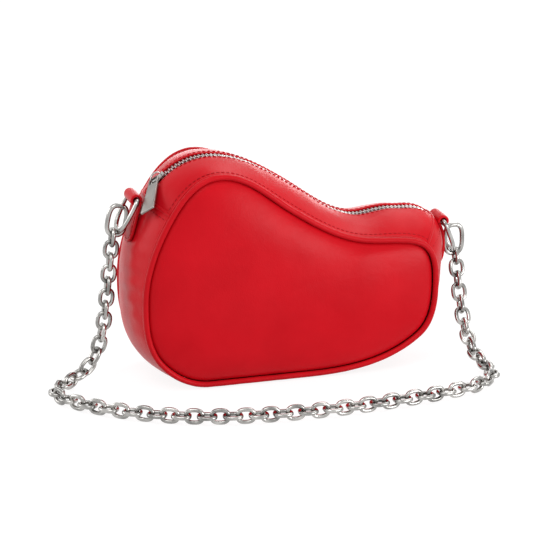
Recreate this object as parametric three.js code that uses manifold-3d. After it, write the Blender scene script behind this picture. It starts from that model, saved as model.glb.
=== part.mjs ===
// A small structured leather crossbody bag: two puffed panels edged with piping, a crowned gusset
// split by a metal zip along the top, and a cable chain on D-rings.
// Millimetres, +Z up, the front faces -Y, origin on the base under the middle of the panels.
import * as THREE from 'three';
import { mergeVertices } from 'three/addons/utils/BufferGeometryUtils.js';
import Module from 'manifold-3d';

const wasm = await Module();
wasm.setup();

// Overall form
const PANEL_WIDTH = 206.4;
const PANEL_SPACING = 70;
const HUMP_HEIGHT = 145.8;
const HUMP_X = -51;
const SADDLE_HEIGHT = 93;
const SADDLE_X = 50;
const SHOULDER_HEIGHT = 89.6;
const SHOULDER_X = 82;
const SLOPE_HEIGHT = 118;
const SIDE_HEIGHT = 60;
const BASE_LEFT_X = -58;
const BASE_RIGHT_X = 12;
const LOWER_RIGHT_INSET = 12;
const LOWER_RIGHT_HEIGHT = 21;
const LOWER_LEFT_INSET = 10.2;
const LOWER_LEFT_HEIGHT = 18;
const RIGHT_SEAM_INSET = 6.7;
const RIGHT_SEAM_DROP = 6.2;
const LEFT_SEAM_INSET = 19.2;
const LEFT_SEAM_DROP = 25.2;
const PANEL_MIDDLE_X = -12;
const PANEL_PUFF = 9;
const PUFF_ROUNDNESS = 3.2;

// How far the gusset stands out of the panels' outline, place by place
const BASE_CROWN = 2;
const LOWER_RIGHT_CROWN = 3.5;
const RIGHT_SIDE_CROWN = 11.5;
const RIGHT_SEAM_CROWN = 18.5;
const SHOULDER_CROWN = 14;
const SADDLE_CROWN = 9;
const SLOPE_CROWN = 12;
const HUMP_CROWN = 6;
const LEFT_SEAM_CROWN = 10;
const LEFT_SIDE_CROWN = 5.5;
const LOWER_LEFT_CROWN = 6;
const CROWN_ROUNDNESS = 2.2;
const BASE_ROLL = 0.42;

// Walls
const GAP = 0.3;
const PIPING_RADIUS = 2;
const LEATHER = 1.6;
const FOAM_BOARD = 1;
const LINING = 0.6;
const LINING_MARGIN = 2.4;
const BASE_BOARD = 1.5;
const BOARD_MARGIN = 2;
const EDGE_RISE = 0.8;

// Zip
const ZIP_MOUTH = 10;
const TAPE_WIDTH = 9;
const TAPE_THICKNESS = 0.7;
const TAPE_PARTING = 2.2;
const TOOTH_PITCH = 2.8;
const TOOTH_LENGTH = 1.1;
const TOOTH_ROOT = 2.4;
const TOOTH_REACH = 0.9;
const TOOTH_RISE = 1.2;
const TOOTH_FOOT = 0.6;
const STOP_LENGTH = 2.4;

// Zip slider and pull
const SLIDER_FROM_SEAM = 14;
const SLIDER_LENGTH = 12;
const SLIDER_WIDTH = 9.2;
const SLIDER_TAIL = 6;
const SLIDER_PLATE = 1.1;
const SLIDER_POST_SHARE = 0.24;
const SLIDER_POST_PLACE = 0.32;
const SLIDER_SHOULDER = 0.4;
const SLIDER_CLEARANCE = 0.55;
const BRIDGE_SHARE = 0.74;
const ARCH_FULLNESS = 1.33;
const BRIDGE_HEIGHT = 4.4;
const BRIDGE_WIDTH = 1.4;
const BRIDGE_THICKNESS = 0.8;
const PULL_LENGTH = 31;
const PULL_WIDTH = 12;
const PULL_TOP = 8.2;
const PULL_CORNER = 1.4;
const PULL_THICKNESS = 1.6;
const PULL_EYE = 5.4;
const PULL_CHEEK = 0.8;
const PULL_PLAY = 0.9;
const PULL_YAW = 53;
const PULL_DROOP = 4;
const PULL_LIFT = 0.4;

// Tabs and rings
const TAB_WIDTH = 19;
const TAB_LEATHER = 2;
const TAB_LEG = 31;
const TAB_ROWS = [1, 1, 1, 1, 1, 0.94, 0.6];
const TAB_BORE_CLEARANCE = 0.6;
const LEFT_TAB_BELOW_SEAM = 30;
const LEFT_TAB_SEAT = 0.9;
const LEFT_TAB_HUG = 0;
const RIGHT_TAB_BELOW_SEAM = 28.2;
const RIGHT_TAB_SEAT = 0.7;
const RIGHT_TAB_HUG = 1;
const D_RING_WIRE = 1.6;
const D_RING_WIDTH = 26.4;
const D_RING_DROP = 25;
const LEFT_D_RING_TILT = 27;
const RIGHT_D_RING_TILT = 22;
const STRAP_RING_WIRE = 1.7;
const STRAP_RING_WIDTH = 16;
const STRAP_RING_HEIGHT = 24;
const LEFT_STRAP_RING_LEAN = 12;
const RIGHT_STRAP_RING_LEAN = 0;
const STRAP_RING_SQUARENESS = 2.9;

// Chain
const LINK_WIRE = 1.25;
const LINK_LENGTH = 13.4;
const LINK_WIDTH = 11.2;
const LINK_SQUARENESS = 2.6;
const LINK_BITE = 0.12;
const LINKS_PER_RUN = 7;
const CHAIN_REACH = 76;
const RUN_GAP = 0.6;
const LEFT_CHAIN_PITCH = 0;
const RIGHT_CHAIN_PITCH = 20;

// Facets
const STATIONS = 60;
const PIPING_SIDES = 6;
const RING_STEPS = 24;
const RING_SIDES = 6;
const LINK_STEPS = 8;

// Colours
const RED = { color: 0xc8141e, roughness: 0.42, metalness: 0 };
const DARK_RED = { color: 0x8d0f16, roughness: 0.8, metalness: 0 };
const BLACK = { color: 0x1c1a1a, roughness: 0.9, metalness: 0 };
const BOARD = { color: 0xd8cfc0, roughness: 0.9, metalness: 0 };
const SILVER = { color: 0xc9c6c1, roughness: 0.18, metalness: 1 };
const NICKEL = { color: 0xa9a49c, roughness: 0.38, metalness: 1 };

const bag = new THREE.Group();
const vec = (x, y, z) => new THREE.Vector3(x, y, z);
const Y_AXIS = vec(0, 1, 0);
const radians = THREE.MathUtils.degToRad;

function extrude(shape, depth, curveSegments) {
  return new THREE.ExtrudeGeometry(shape, { bevelEnabled: false, depth, curveSegments });
}

function addPiece(name, geometry, finish) {
  const mesh = new THREE.Mesh(geometry, new THREE.MeshStandardMaterial(finish));
  mesh.name = name;
  bag.add(mesh);
  return mesh;
}

// Solids
function closedGeometry(points, triangles) {
  let volume = 0;
  for (const [a, b, c] of triangles) {
    volume += points[a].dot(points[b].clone().cross(points[c]));
  }
  const index = triangles.flatMap(([a, b, c]) => (volume > 0 ? [a, b, c] : [a, c, b]));
  const geometry = new THREE.BufferGeometry();
  const numbers = points.flatMap((point) => point.toArray());
  geometry.setAttribute('position', new THREE.Float32BufferAttribute(numbers, 3));
  geometry.setIndex(index);
  return geometry;
}

function weld(geometry) {
  const bare = geometry.clone();
  bare.deleteAttribute('normal');
  bare.deleteAttribute('uv');
  return mergeVertices(bare, 1e-4);
}

function toManifold(geometry) {
  const welded = weld(geometry);
  return new wasm.Manifold(new wasm.Mesh({
    numProp: 3,
    vertProperties: new Float32Array(welded.attributes.position.array),
    triVerts: new Uint32Array(welded.index.array),
  }));
}

function fromManifold(solid) {
  const mesh = solid.getMesh();
  const geometry = new THREE.BufferGeometry();
  geometry.setAttribute('position', new THREE.Float32BufferAttribute(mesh.vertProperties, 3));
  geometry.setIndex([...mesh.triVerts]);
  return geometry;
}

function join(geometries) {
  const solids = geometries.map(toManifold);
  return fromManifold(solids.reduce((sum, next) => sum.add(next)));
}

function cut(body, tools) {
  const solids = tools.map(toManifold);
  return fromManifold(solids.reduce((left, tool) => left.subtract(tool), toManifold(body)));
}

// A wall between two grids of points with the same rows and columns
function slab(outer, inner) {
  const columns = outer[0].length;
  const rows = outer.length;
  const points = [...outer.flat(), ...inner.flat()];
  const triangles = [];
  const quad = (a, b, c, d) => triangles.push([a, b, c], [a, c, d]);
  const out = (i, j) => i * columns + j;
  const into = (i, j) => rows * columns + i * columns + j;
  for (let i = 0; i < rows - 1; i += 1) {
    for (let j = 0; j < columns - 1; j += 1) {
      quad(out(i, j), out(i + 1, j), out(i + 1, j + 1), out(i, j + 1));
      quad(into(i, j), into(i, j + 1), into(i + 1, j + 1), into(i + 1, j));
    }
    quad(out(i, 0), into(i, 0), into(i + 1, 0), out(i + 1, 0));
    const last = columns - 1;
    quad(out(i, last), out(i + 1, last), into(i + 1, last), into(i, last));
  }
  for (let j = 0; j < columns - 1; j += 1) {
    quad(out(0, j), out(0, j + 1), into(0, j + 1), into(0, j));
    const end = rows - 1;
    quad(out(end, j), into(end, j), into(end, j + 1), out(end, j + 1));
  }
  return closedGeometry(points, triangles);
}

function closedTube(curve, steps, radius, sides) {
  return weld(new THREE.TubeGeometry(curve, steps, radius, sides, true));
}

// Panel outline: anchors with a heading, joined by curves close to circular arcs.
// crown is how far the gusset stands out of the outline there, and flat marks the base.
const halfWidth = PANEL_WIDTH / 2;
const panelLift = EDGE_RISE + BASE_CROWN;
const ANCHORS = [
  { x: BASE_LEFT_X, z: 0, heading: 0, crown: BASE_CROWN, flat: 1 },
  { x: BASE_RIGHT_X, z: 0, heading: 0, crown: BASE_CROWN, flat: 1 },
  {
    x: halfWidth - LOWER_RIGHT_INSET, z: LOWER_RIGHT_HEIGHT, heading: 39,
    crown: LOWER_RIGHT_CROWN, flat: 0,
  },
  { x: halfWidth, z: SIDE_HEIGHT, heading: 90, crown: RIGHT_SIDE_CROWN, flat: 0 },
  {
    x: halfWidth - RIGHT_SEAM_INSET, z: SHOULDER_HEIGHT - RIGHT_SEAM_DROP, heading: 134,
    crown: RIGHT_SEAM_CROWN, flat: 0, seam: 'right',
  },
  { x: SHOULDER_X, z: SHOULDER_HEIGHT, heading: 171, crown: SHOULDER_CROWN, flat: 0 },
  { x: SADDLE_X, z: SADDLE_HEIGHT, heading: 169, crown: SADDLE_CROWN, flat: 0 },
  { x: 0, z: SLOPE_HEIGHT, heading: 146, crown: SLOPE_CROWN, flat: 0 },
  { x: HUMP_X, z: HUMP_HEIGHT, heading: 180, crown: HUMP_CROWN, flat: 0 },
  {
    x: -halfWidth + LEFT_SEAM_INSET, z: HUMP_HEIGHT - LEFT_SEAM_DROP, heading: 239,
    crown: LEFT_SEAM_CROWN, flat: 0, seam: 'left',
  },
  { x: -halfWidth, z: SIDE_HEIGHT, heading: 270, crown: LEFT_SIDE_CROWN, flat: 0 },
  {
    x: -halfWidth + LOWER_LEFT_INSET, z: LOWER_LEFT_HEIGHT, heading: 309,
    crown: LOWER_LEFT_CROWN, flat: 0,
  },
];

function outlineCurve(from, to) {
  const start = new THREE.Vector2(from.x, from.z + panelLift);
  const end = new THREE.Vector2(to.x, to.z + panelLift);
  const turn = Math.abs(THREE.MathUtils.euclideanModulo(to.heading - from.heading + 180, 360) - 180);
  const bend = radians(Math.max(turn, 1));
  const reach = start.distanceTo(end) * (2 / 3) * Math.tan(bend / 4) / Math.sin(bend / 2);
  const ahead = (heading) => new THREE.Vector2(Math.cos(radians(heading)), Math.sin(radians(heading)));
  const leave = start.clone().addScaledVector(ahead(from.heading), reach);
  const arrive = end.clone().addScaledVector(ahead(to.heading), -reach);
  return new THREE.CubicBezierCurve(start, leave, arrive, end);
}

// Stations round the outline, anticlockwise from the base, each with its place, normal and crown
function walkOutline(count) {
  const curves = ANCHORS.map((from, i) => outlineCurve(from, ANCHORS[(i + 1) % ANCHORS.length]));
  const total = curves.reduce((sum, curve) => sum + curve.getLength(), 0);
  const stations = [];
  curves.forEach((curve, i) => {
    const from = ANCHORS[i];
    const to = ANCHORS[(i + 1) % ANCHORS.length];
    const steps = Math.max(2, Math.round((count * curve.getLength()) / total));
    for (let k = 0; k < steps; k += 1) {
      const t = k / steps;
      const ease = t * t * (3 - 2 * t);
      const at = curve.getPoint(t);
      const along = curve.getTangent(t);
      stations.push({
        x: at.x,
        z: at.y,
        nx: along.y,
        nz: -along.x,
        crown: THREE.MathUtils.lerp(from.crown, to.crown, ease),
        flat: THREE.MathUtils.lerp(from.flat, to.flat, ease),
        seam: k === 0 ? from.seam : undefined,
      });
    }
  });
  return stations;
}

const stations = walkOutline(STATIONS);
const gussetHalf = PANEL_SPACING / 2 - PIPING_RADIUS - GAP;

// A point of the gusset, y across it and depth in from its outside
function skin(station, y, depth) {
  const across = Math.min(1, Math.abs(y) / gussetHalf);
  const arch = 1 - across ** CROWN_ROUNDNESS;
  const plateau = THREE.MathUtils.smoothstep(1 - across, 0, BASE_ROLL);
  const rise = EDGE_RISE + station.crown * THREE.MathUtils.lerp(arch, plateau, station.flat) - depth;
  return vec(station.x + station.nx * rise, y, station.z + station.nz * rise);
}

function gussetStrip(run, across, depth, thickness) {
  const outer = run.map((station) => across.map((y) => skin(station, y, depth)));
  const inner = run.map((station) => across.map((y) => skin(station, y, depth + thickness)));
  return slab(outer, inner);
}

function spread(from, to, steps) {
  return Array.from({ length: steps + 1 }, (_, k) => from + ((to - from) * k) / steps);
}

// A station moved along its own tangent, for the seam gap between two strips
function nudge(station, along) {
  return { ...station, x: station.x - station.nz * along, z: station.z + station.nx * along };
}

const rightSeam = stations.findIndex((station) => station.seam === 'right');
const leftSeam = stations.findIndex((station) => station.seam === 'left');
const topRun = stations.slice(rightSeam, leftSeam + 1);
const lowRun = [...stations.slice(leftSeam), ...stations.slice(0, rightSeam + 1)];
topRun[0] = nudge(topRun[0], GAP);
topRun[topRun.length - 1] = nudge(topRun[topRun.length - 1], -GAP);

// Gussets, inside and out
const wideAcross = [-1, -0.86, -0.54, -0.2, 0.2, 0.54, 0.86, 1].map((v) => v * gussetHalf);
const topAcross = [ZIP_MOUTH / 2, ...[0.32, 0.54, 0.76, 0.9, 1].map((v) => v * gussetHalf)];
addPiece('side_gusset', gussetStrip(lowRun, wideAcross, 0, LEATHER), RED);
addPiece('top_gusset_front', gussetStrip(topRun, topAcross.map((y) => -y), 0, LEATHER), RED);
addPiece('top_gusset_back', gussetStrip(topRun, topAcross, 0, LEATHER), RED);

const liningDepth = LEATHER + GAP + BASE_BOARD + GAP;
const liningHalf = gussetHalf - LINING_MARGIN;
const liningRun = lowRun.filter((_, i) => i % 2 === 0 || i === lowRun.length - 1);
const liningAcross = spread(-liningHalf, liningHalf, 4);
addPiece('lining_gusset', gussetStrip(liningRun, liningAcross, liningDepth, LINING), BLACK);

const boardDepth = gussetHalf * 2 * (1 - BASE_ROLL) - BOARD_MARGIN;
const boardLength = BASE_RIGHT_X - BASE_LEFT_X - BOARD_MARGIN;
const board = new THREE.BoxGeometry(boardLength, boardDepth, BASE_BOARD);
board.translate((BASE_LEFT_X + BASE_RIGHT_X) / 2, 0, LEATHER + GAP + BASE_BOARD / 2);
addPiece('base_board', board, BOARD);

// Panels: rings of the outline drawn in towards the middle, rising to the puff
const PANEL_MIDDLE = { x: PANEL_MIDDLE_X, z: SIDE_HEIGHT + panelLift };
const PANEL_RINGS = [1, 0.92, 0.74, 0.42];

function panelShell(side, inset, depth, thickness, everyStation, rings) {
  const edge = stations.filter((_, i) => i % everyStation === 0);
  const surface = (into) => {
    const face = (PANEL_SPACING / 2 - into) * side;
    const rows = rings.map((share) => edge.map((station) => vec(
      PANEL_MIDDLE.x + (station.x - station.nx * inset - PANEL_MIDDLE.x) * share,
      face + side * PANEL_PUFF * (1 - share ** PUFF_ROUNDNESS),
      PANEL_MIDDLE.z + (station.z - station.nz * inset - PANEL_MIDDLE.z) * share,
    )));
    return { rows, tip: vec(PANEL_MIDDLE.x, face + side * PANEL_PUFF, PANEL_MIDDLE.z) };
  };
  const faces = [surface(depth), surface(depth + thickness)];
  const points = faces.flatMap(({ rows, tip }) => [...rows.flat(), tip]);
  const count = edge.length;
  const step = rings.length * count + 1;
  const triangles = [];
  for (let j = 0; j < count; j += 1) {
    const next = (j + 1) % count;
    for (let i = 0; i < rings.length - 1; i += 1) {
      const [a, b, c, d] = [i * count + j, i * count + next, (i + 1) * count + next, (i + 1) * count + j];
      triangles.push([a, b, c], [a, c, d]);
      triangles.push([a + step, c + step, b + step], [a + step, d + step, c + step]);
    }
    const rim = (rings.length - 1) * count;
    triangles.push([rim + j, rim + next, step - 1], [rim + j + step, 2 * step - 1, rim + next + step]);
    triangles.push([j, j + step, next + step], [j, next + step, next]);
  }
  return closedGeometry(points, triangles);
}

const boardInset = PIPING_RADIUS + GAP + LEATHER;
const innerRings = [1, 0.8, 0.45];
for (const [word, side] of [['front', -1], ['back', 1]]) {
  addPiece(`${word}_panel`, panelShell(side, PIPING_RADIUS + GAP, 0, LEATHER, 1, PANEL_RINGS), RED);
  const foamDepth = LEATHER + GAP;
  addPiece(`${word}_foam_board`, panelShell(side, boardInset, foamDepth, FOAM_BOARD, 3, innerRings), BOARD);
  const clothDepth = foamDepth + FOAM_BOARD + GAP;
  addPiece(`lining_${word}`, panelShell(side, boardInset, clothDepth, LINING, 3, innerRings), BLACK);
  const seamLine = stations.map((station) => vec(station.x, (side * PANEL_SPACING) / 2, station.z));
  const pipingPath = new THREE.CatmullRomCurve3(seamLine, true);
  addPiece(`${word}_piping`, closedTube(pipingPath, STATIONS, PIPING_RADIUS, PIPING_SIDES), DARK_RED);
}

// Zip: the path of its teeth, from the left seam to the right seam
const tapeDepth = LEATHER + GAP;
const zipRun = [...topRun].reverse();
const zipPath = new THREE.CatmullRomCurve3(zipRun.map((station) => skin(station, 0, tapeDepth)));
const zipLength = zipPath.getLength();

function zipFrame(distance) {
  const at = zipPath.getPointAt(distance / zipLength);
  const along = zipPath.getTangentAt(distance / zipLength).setY(0).normalize();
  const up = along.clone().cross(Y_AXIS).normalize();
  if (up.z < 0) up.negate();
  const matrix = new THREE.Matrix4().makeBasis(along, up.clone().cross(along), up).setPosition(at);
  return { at, along, up, matrix };
}

function boxAt(frame, size, centre) {
  const box = new THREE.BoxGeometry(size.x, size.y, size.z);
  box.translate(centre.x, centre.y, centre.z);
  return box.applyMatrix4(frame.matrix);
}

const sliderTailEnd = SLIDER_FROM_SEAM + SLIDER_LENGTH / 2;
const toothCount = Math.floor((zipLength - sliderTailEnd - STOP_LENGTH * 2 - TOOTH_PITCH) / TOOTH_PITCH);
const toothHeight = TOOTH_RISE + TOOTH_FOOT;
const tapeEdge = TAPE_PARTING / 2;
for (const [word, side] of [['front', -1], ['back', 1]]) {
  const across = [side * tapeEdge, side * (tapeEdge + TAPE_WIDTH)];
  const tape = gussetStrip(zipRun, across, tapeDepth, TAPE_THICKNESS);
  const teeth = Array.from({ length: toothCount }, (_, k) => {
    const lead = side < 0 ? 0 : TOOTH_PITCH / 2;
    const frame = zipFrame(sliderTailEnd - SLIDER_LENGTH / 2 + TOOTH_PITCH * (k + 1) + lead);
    const width = TOOTH_REACH + tapeEdge + TOOTH_ROOT;
    const size = vec(TOOTH_LENGTH, width, toothHeight);
    return boxAt(frame, size, vec(0, side * (width / 2 - TOOTH_REACH), TOOTH_RISE - toothHeight / 2));
  });
  addPiece(`zip_tape_${word}`, join([tape, ...teeth]), SILVER);
}

const stopRise = TOOTH_RISE - GAP;
const stopWidth = 2 * (tapeEdge + TOOTH_ROOT);
const stopSize = vec(STOP_LENGTH, stopWidth, stopRise);
const stopCentre = vec(0, 0, stopRise / 2 + GAP);
const leftStop = SLIDER_FROM_SEAM - SLIDER_LENGTH / 2 - STOP_LENGTH;
addPiece('zip_stop_left', boxAt(zipFrame(leftStop), stopSize, stopCentre), SILVER);
addPiece('zip_stop_right', boxAt(zipFrame(zipLength - STOP_LENGTH), stopSize, stopCentre), SILVER);

// Zip slider: two shield plates joined by a post that runs between the tapes
const sliderFrame = zipFrame(SLIDER_FROM_SEAM);
const plateTop = TOOTH_RISE + SLIDER_CLEARANCE + SLIDER_PLATE;

function sliderPlate(bottom) {
  const half = SLIDER_LENGTH / 2;
  const shield = new THREE.Shape();
  shield.moveTo(half, -SLIDER_TAIL / 2);
  shield.lineTo(half, SLIDER_TAIL / 2);
  shield.quadraticCurveTo(0, SLIDER_TAIL / 2, -half * SLIDER_SHOULDER, SLIDER_WIDTH / 2);
  shield.quadraticCurveTo(-half, SLIDER_WIDTH / 2, -half, SLIDER_WIDTH / 4);
  shield.lineTo(-half, -SLIDER_WIDTH / 4);
  shield.quadraticCurveTo(-half, -SLIDER_WIDTH / 2, -half * SLIDER_SHOULDER, -SLIDER_WIDTH / 2);
  shield.quadraticCurveTo(0, -SLIDER_TAIL / 2, half, -SLIDER_TAIL / 2);
  const plate = extrude(shield, SLIDER_PLATE, 4);
  return plate.translate(0, 0, bottom).applyMatrix4(sliderFrame.matrix);
}

const lowerTop = -TAPE_THICKNESS - SLIDER_CLEARANCE;
const postHeight = plateTop - lowerTop;
const postMiddle = (plateTop - SLIDER_PLATE + lowerTop) / 2;
const postSize = vec(SLIDER_LENGTH * SLIDER_POST_SHARE, TAPE_PARTING - 2 * GAP, postHeight);
const post = boxAt(sliderFrame, postSize, vec(-SLIDER_LENGTH * SLIDER_POST_PLACE, 0, postMiddle));
addPiece('zip_slider', join([
  sliderPlate(plateTop - SLIDER_PLATE),
  sliderPlate(lowerTop - SLIDER_PLATE),
  post,
]), NICKEL);

// The bridge: a strip arched over the upper plate, which holds the pull
const bridgeSpan = SLIDER_LENGTH * BRIDGE_SHARE;
const bridgeShape = new THREE.Shape();
bridgeShape.moveTo(-bridgeSpan / 2, 0);
const bridgeFoot = bridgeSpan / 2;
const bridgeTop = BRIDGE_HEIGHT * ARCH_FULLNESS;
bridgeShape.bezierCurveTo(-bridgeFoot, bridgeTop, bridgeFoot, bridgeTop, bridgeFoot, 0);
bridgeShape.lineTo(bridgeSpan / 2 - BRIDGE_THICKNESS, 0);
const bridgeInside = (BRIDGE_HEIGHT - BRIDGE_THICKNESS) * ARCH_FULLNESS;
const bridgeLeg = bridgeSpan / 2 - BRIDGE_THICKNESS;
bridgeShape.bezierCurveTo(bridgeLeg, bridgeInside, -bridgeLeg, bridgeInside, -bridgeLeg, 0);
const bridge = extrude(bridgeShape, BRIDGE_WIDTH, 10);
bridge.rotateX(Math.PI / 2).translate(0, BRIDGE_WIDTH / 2, plateTop + GAP / 2);
bridge.applyMatrix4(sliderFrame.matrix);
addPiece('zip_slider_bridge', bridge, NICKEL);

// The pull: a flat bar whose eye takes the bridge
const yaw = radians(PULL_YAW);
const barOffset = PULL_CHEEK / 2 / Math.cos(yaw) + (BRIDGE_WIDTH / 2) * Math.tan(yaw) + PULL_PLAY;
const pullPivot = vec(
  -bridgeSpan / 2 + BRIDGE_THICKNESS + barOffset,
  0,
  plateTop + GAP + PULL_LIFT + PULL_THICKNESS / 2,
);
const pullShape = new THREE.Shape();
const topHalf = PULL_TOP / 2;
const pullHalf = PULL_WIDTH / 2;
const cornerStart = PULL_CORNER - PULL_LENGTH;
pullShape.moveTo(PULL_CHEEK / 2, -topHalf + PULL_CHEEK);
pullShape.lineTo(PULL_CHEEK / 2, topHalf - PULL_CHEEK);
pullShape.quadraticCurveTo(PULL_CHEEK / 2, topHalf, -PULL_CHEEK, topHalf);
pullShape.lineTo(cornerStart, pullHalf);
pullShape.quadraticCurveTo(-PULL_LENGTH, pullHalf, -PULL_LENGTH, pullHalf - PULL_CORNER);
pullShape.lineTo(-PULL_LENGTH, PULL_CORNER - pullHalf);
pullShape.quadraticCurveTo(-PULL_LENGTH, -pullHalf, cornerStart, -pullHalf);
pullShape.lineTo(-PULL_CHEEK, -topHalf);
pullShape.quadraticCurveTo(PULL_CHEEK / 2, -topHalf, PULL_CHEEK / 2, -topHalf + PULL_CHEEK);
const eye = new THREE.Path();
const eyeHalf = topHalf - PULL_CHEEK;
eye.moveTo(-PULL_CHEEK / 2, -eyeHalf);
eye.lineTo(-PULL_CHEEK / 2 - PULL_EYE, -eyeHalf);
eye.lineTo(-PULL_CHEEK / 2 - PULL_EYE, eyeHalf);
eye.lineTo(-PULL_CHEEK / 2, eyeHalf);
pullShape.holes.push(eye);
const pull = extrude(pullShape, PULL_THICKNESS, 4);
pull.translate(0, 0, -PULL_THICKNESS / 2).rotateY(-radians(PULL_DROOP)).rotateZ(yaw);
pull.translate(...pullPivot.toArray()).applyMatrix4(sliderFrame.matrix);
addPiece('zip_pull', pull, NICKEL);

// Closed ovals for the rings and links, in a plane of their own, with a flat facet at each end
class Oval extends THREE.Curve {
  constructor(halfLong, halfWide, squareness, steps) {
    super();
    this.power = 2 / squareness;
    this.phase = Math.PI / steps;
    const facet = Math.cos(this.phase) ** this.power;
    this.halfLong = halfLong / facet;
    this.halfWide = halfWide / facet;
  }

  getPoint(t, target = new THREE.Vector3()) {
    const angle = t * Math.PI * 2 + this.phase;
    const bow = (value) => Math.sign(value) * Math.abs(value) ** this.power;
    return target.set(this.halfLong * bow(Math.cos(angle)), this.halfWide * bow(Math.sin(angle)), 0);
  }

  getUtoTmapping(u) {
    return u;
  }
}

// A D-ring hangs from its straight bar at the origin, in the plane of Y and -Z
function dRing() {
  const half = D_RING_WIDTH / 2 - D_RING_WIRE;
  const low = -D_RING_DROP;
  const bar = TAB_WIDTH / 2 + GAP;
  const halfPath = [
    vec(0, bar / 2, 0), vec(0, bar, 0), vec(0, half, bar - half), vec(0, half, low * 0.4),
    vec(0, half * 0.87, low * 0.72), vec(0, half * 0.5, low * 0.94),
  ];
  const mirrored = [...halfPath].reverse().map((point) => vec(0, -point.y, point.z));
  const path = new THREE.CatmullRomCurve3([...halfPath, vec(0, 0, low), ...mirrored], true, 'centripetal');
  return closedTube(path, RING_STEPS, D_RING_WIRE, RING_SIDES);
}

// The outermost line of the gusset, for seating the tabs on it, a length down from the seam
function seatBelowSeam(side, below) {
  const fromSeam = side < 0 ? lowRun : [...lowRun].reverse();
  const line = fromSeam.map((station) => skin(station, 0, 0));
  let walked = 0;
  let k = 0;
  while (walked + line[k].distanceTo(line[k + 1]) < below) {
    walked += line[k].distanceTo(line[k + 1]);
    k += 1;
  }
  const part = (below - walked) / line[k].distanceTo(line[k + 1]);
  const at = line[k].clone().lerp(line[k + 1], part);
  const slope = (i) => line[i + 1].clone().sub(line[Math.max(0, i - 1)]).normalize();
  const down = slope(k).lerp(slope(k + 1), part).normalize();
  const out = vec(-down.z * side, 0, down.x * side);
  return { at, down, out };
}

const pivots = {};
const chainEnds = {};
const loopBore = D_RING_WIRE + TAB_BORE_CLEARANCE;
const loopRadius = loopBore + TAB_LEATHER;

function endHardware(word, side, { below, seatShare, hug, tilt, ringTip, chainPitch }) {
  // The leg is sewn down at its seat. Above that it stands off straight or hugs the gusset.
  const seat = seatBelowSeam(side, below);
  const legTop = -TAB_LEG * seatShare;
  const outer = [];
  const inner = [];
  for (const width of TAB_ROWS) {
    const reach = legTop + (TAB_LEG * inner.length) / (TAB_ROWS.length - 1);
    const close = seatBelowSeam(side, below + reach);
    const out = seat.out.clone().lerp(close.out, hug).normalize();
    const foot = seat.at.clone().addScaledVector(seat.down, reach).lerp(close.at, hug);
    foot.addScaledVector(out, GAP);
    const row = (depth) => [-1, 1].map((end) => foot.clone()
      .addScaledVector(out, depth)
      .setY((end * width * TAB_WIDTH) / 2));
    inner.push(row(0));
    outer.push(row(TAB_LEATHER));
  }
  const leg = slab(outer, inner);
  const top = inner[0][0].clone().lerp(inner[0][1], 0.5);
  const topOut = outer[0][0].clone().sub(inner[0][0]).normalize();
  const loopCentre = top.addScaledVector(topOut, loopRadius);
  const drum = (radius, length) => new THREE.CylinderGeometry(radius, radius, length, 18)
    .translate(loopCentre.x, loopCentre.y, loopCentre.z);
  const tab = cut(join([drum(loopRadius, TAB_WIDTH), leg]), [drum(loopBore, TAB_WIDTH + 2)]);
  addPiece(`tab_${word}`, tab, RED);

  const lean = side * radians(tilt);
  addPiece(`d_ring_${word}`, dRing().rotateY(-lean).translate(...loopCentre.toArray()), SILVER);
  const bow = loopCentre.clone().add(vec(D_RING_DROP * Math.sin(lean), 0, -D_RING_DROP * Math.cos(lean)));

  // The strap ring stands across the D-ring's bow, with the first link beside the bow
  const halfWide = STRAP_RING_WIDTH / 2 - STRAP_RING_WIRE;
  const halfHigh = STRAP_RING_HEIGHT / 2 - STRAP_RING_WIRE;
  const tip = radians(ringTip);
  const outward = vec(side * Math.cos(tip), 0, Math.sin(tip));
  const upward = vec(-side * Math.sin(tip), 0, Math.cos(tip));
  const beside = (D_RING_WIRE + LINK_WIRE + GAP) / 2;
  const ringFoot = bow.clone()
    .addScaledVector(outward, beside)
    .addScaledVector(upward, -D_RING_WIRE - STRAP_RING_WIRE - GAP);
  const ringOval = new Oval(halfHigh, halfWide, STRAP_RING_SQUARENESS, RING_STEPS);
  const ring = closedTube(ringOval, RING_STEPS, STRAP_RING_WIRE, RING_SIDES);
  ring.rotateX(Math.PI / 2).rotateY(-Math.PI / 2).translate(0, 0, halfHigh);
  ring.rotateY(-side * tip).translate(...ringFoot.toArray());
  addPiece(`strap_ring_${word}`, ring, SILVER);

  pivots[`d_ring_${word}`] = loopCentre.toArray();
  pivots[`strap_ring_${word}`] = bow.toArray();
  const linkSeat = STRAP_RING_WIRE + LINK_WIRE + 2 * GAP;
  const lead = radians(chainPitch);
  chainEnds[word] = ringFoot.clone()
    .addScaledVector(outward, beside)
    .addScaledVector(upward, linkSeat * Math.cos(lead))
    .addScaledVector(Y_AXIS, linkSeat * Math.sin(lead));
}

endHardware('left', -1, {
  below: LEFT_TAB_BELOW_SEAM,
  seatShare: LEFT_TAB_SEAT,
  hug: LEFT_TAB_HUG,
  tilt: LEFT_D_RING_TILT,
  ringTip: LEFT_STRAP_RING_LEAN,
  chainPitch: LEFT_CHAIN_PITCH,
});
endHardware('right', 1, {
  below: RIGHT_TAB_BELOW_SEAM,
  seatShare: RIGHT_TAB_SEAT,
  hug: RIGHT_TAB_HUG,
  tilt: RIGHT_D_RING_TILT,
  ringTip: RIGHT_STRAP_RING_LEAN,
  chainPitch: RIGHT_CHAIN_PITCH,
});

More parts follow.
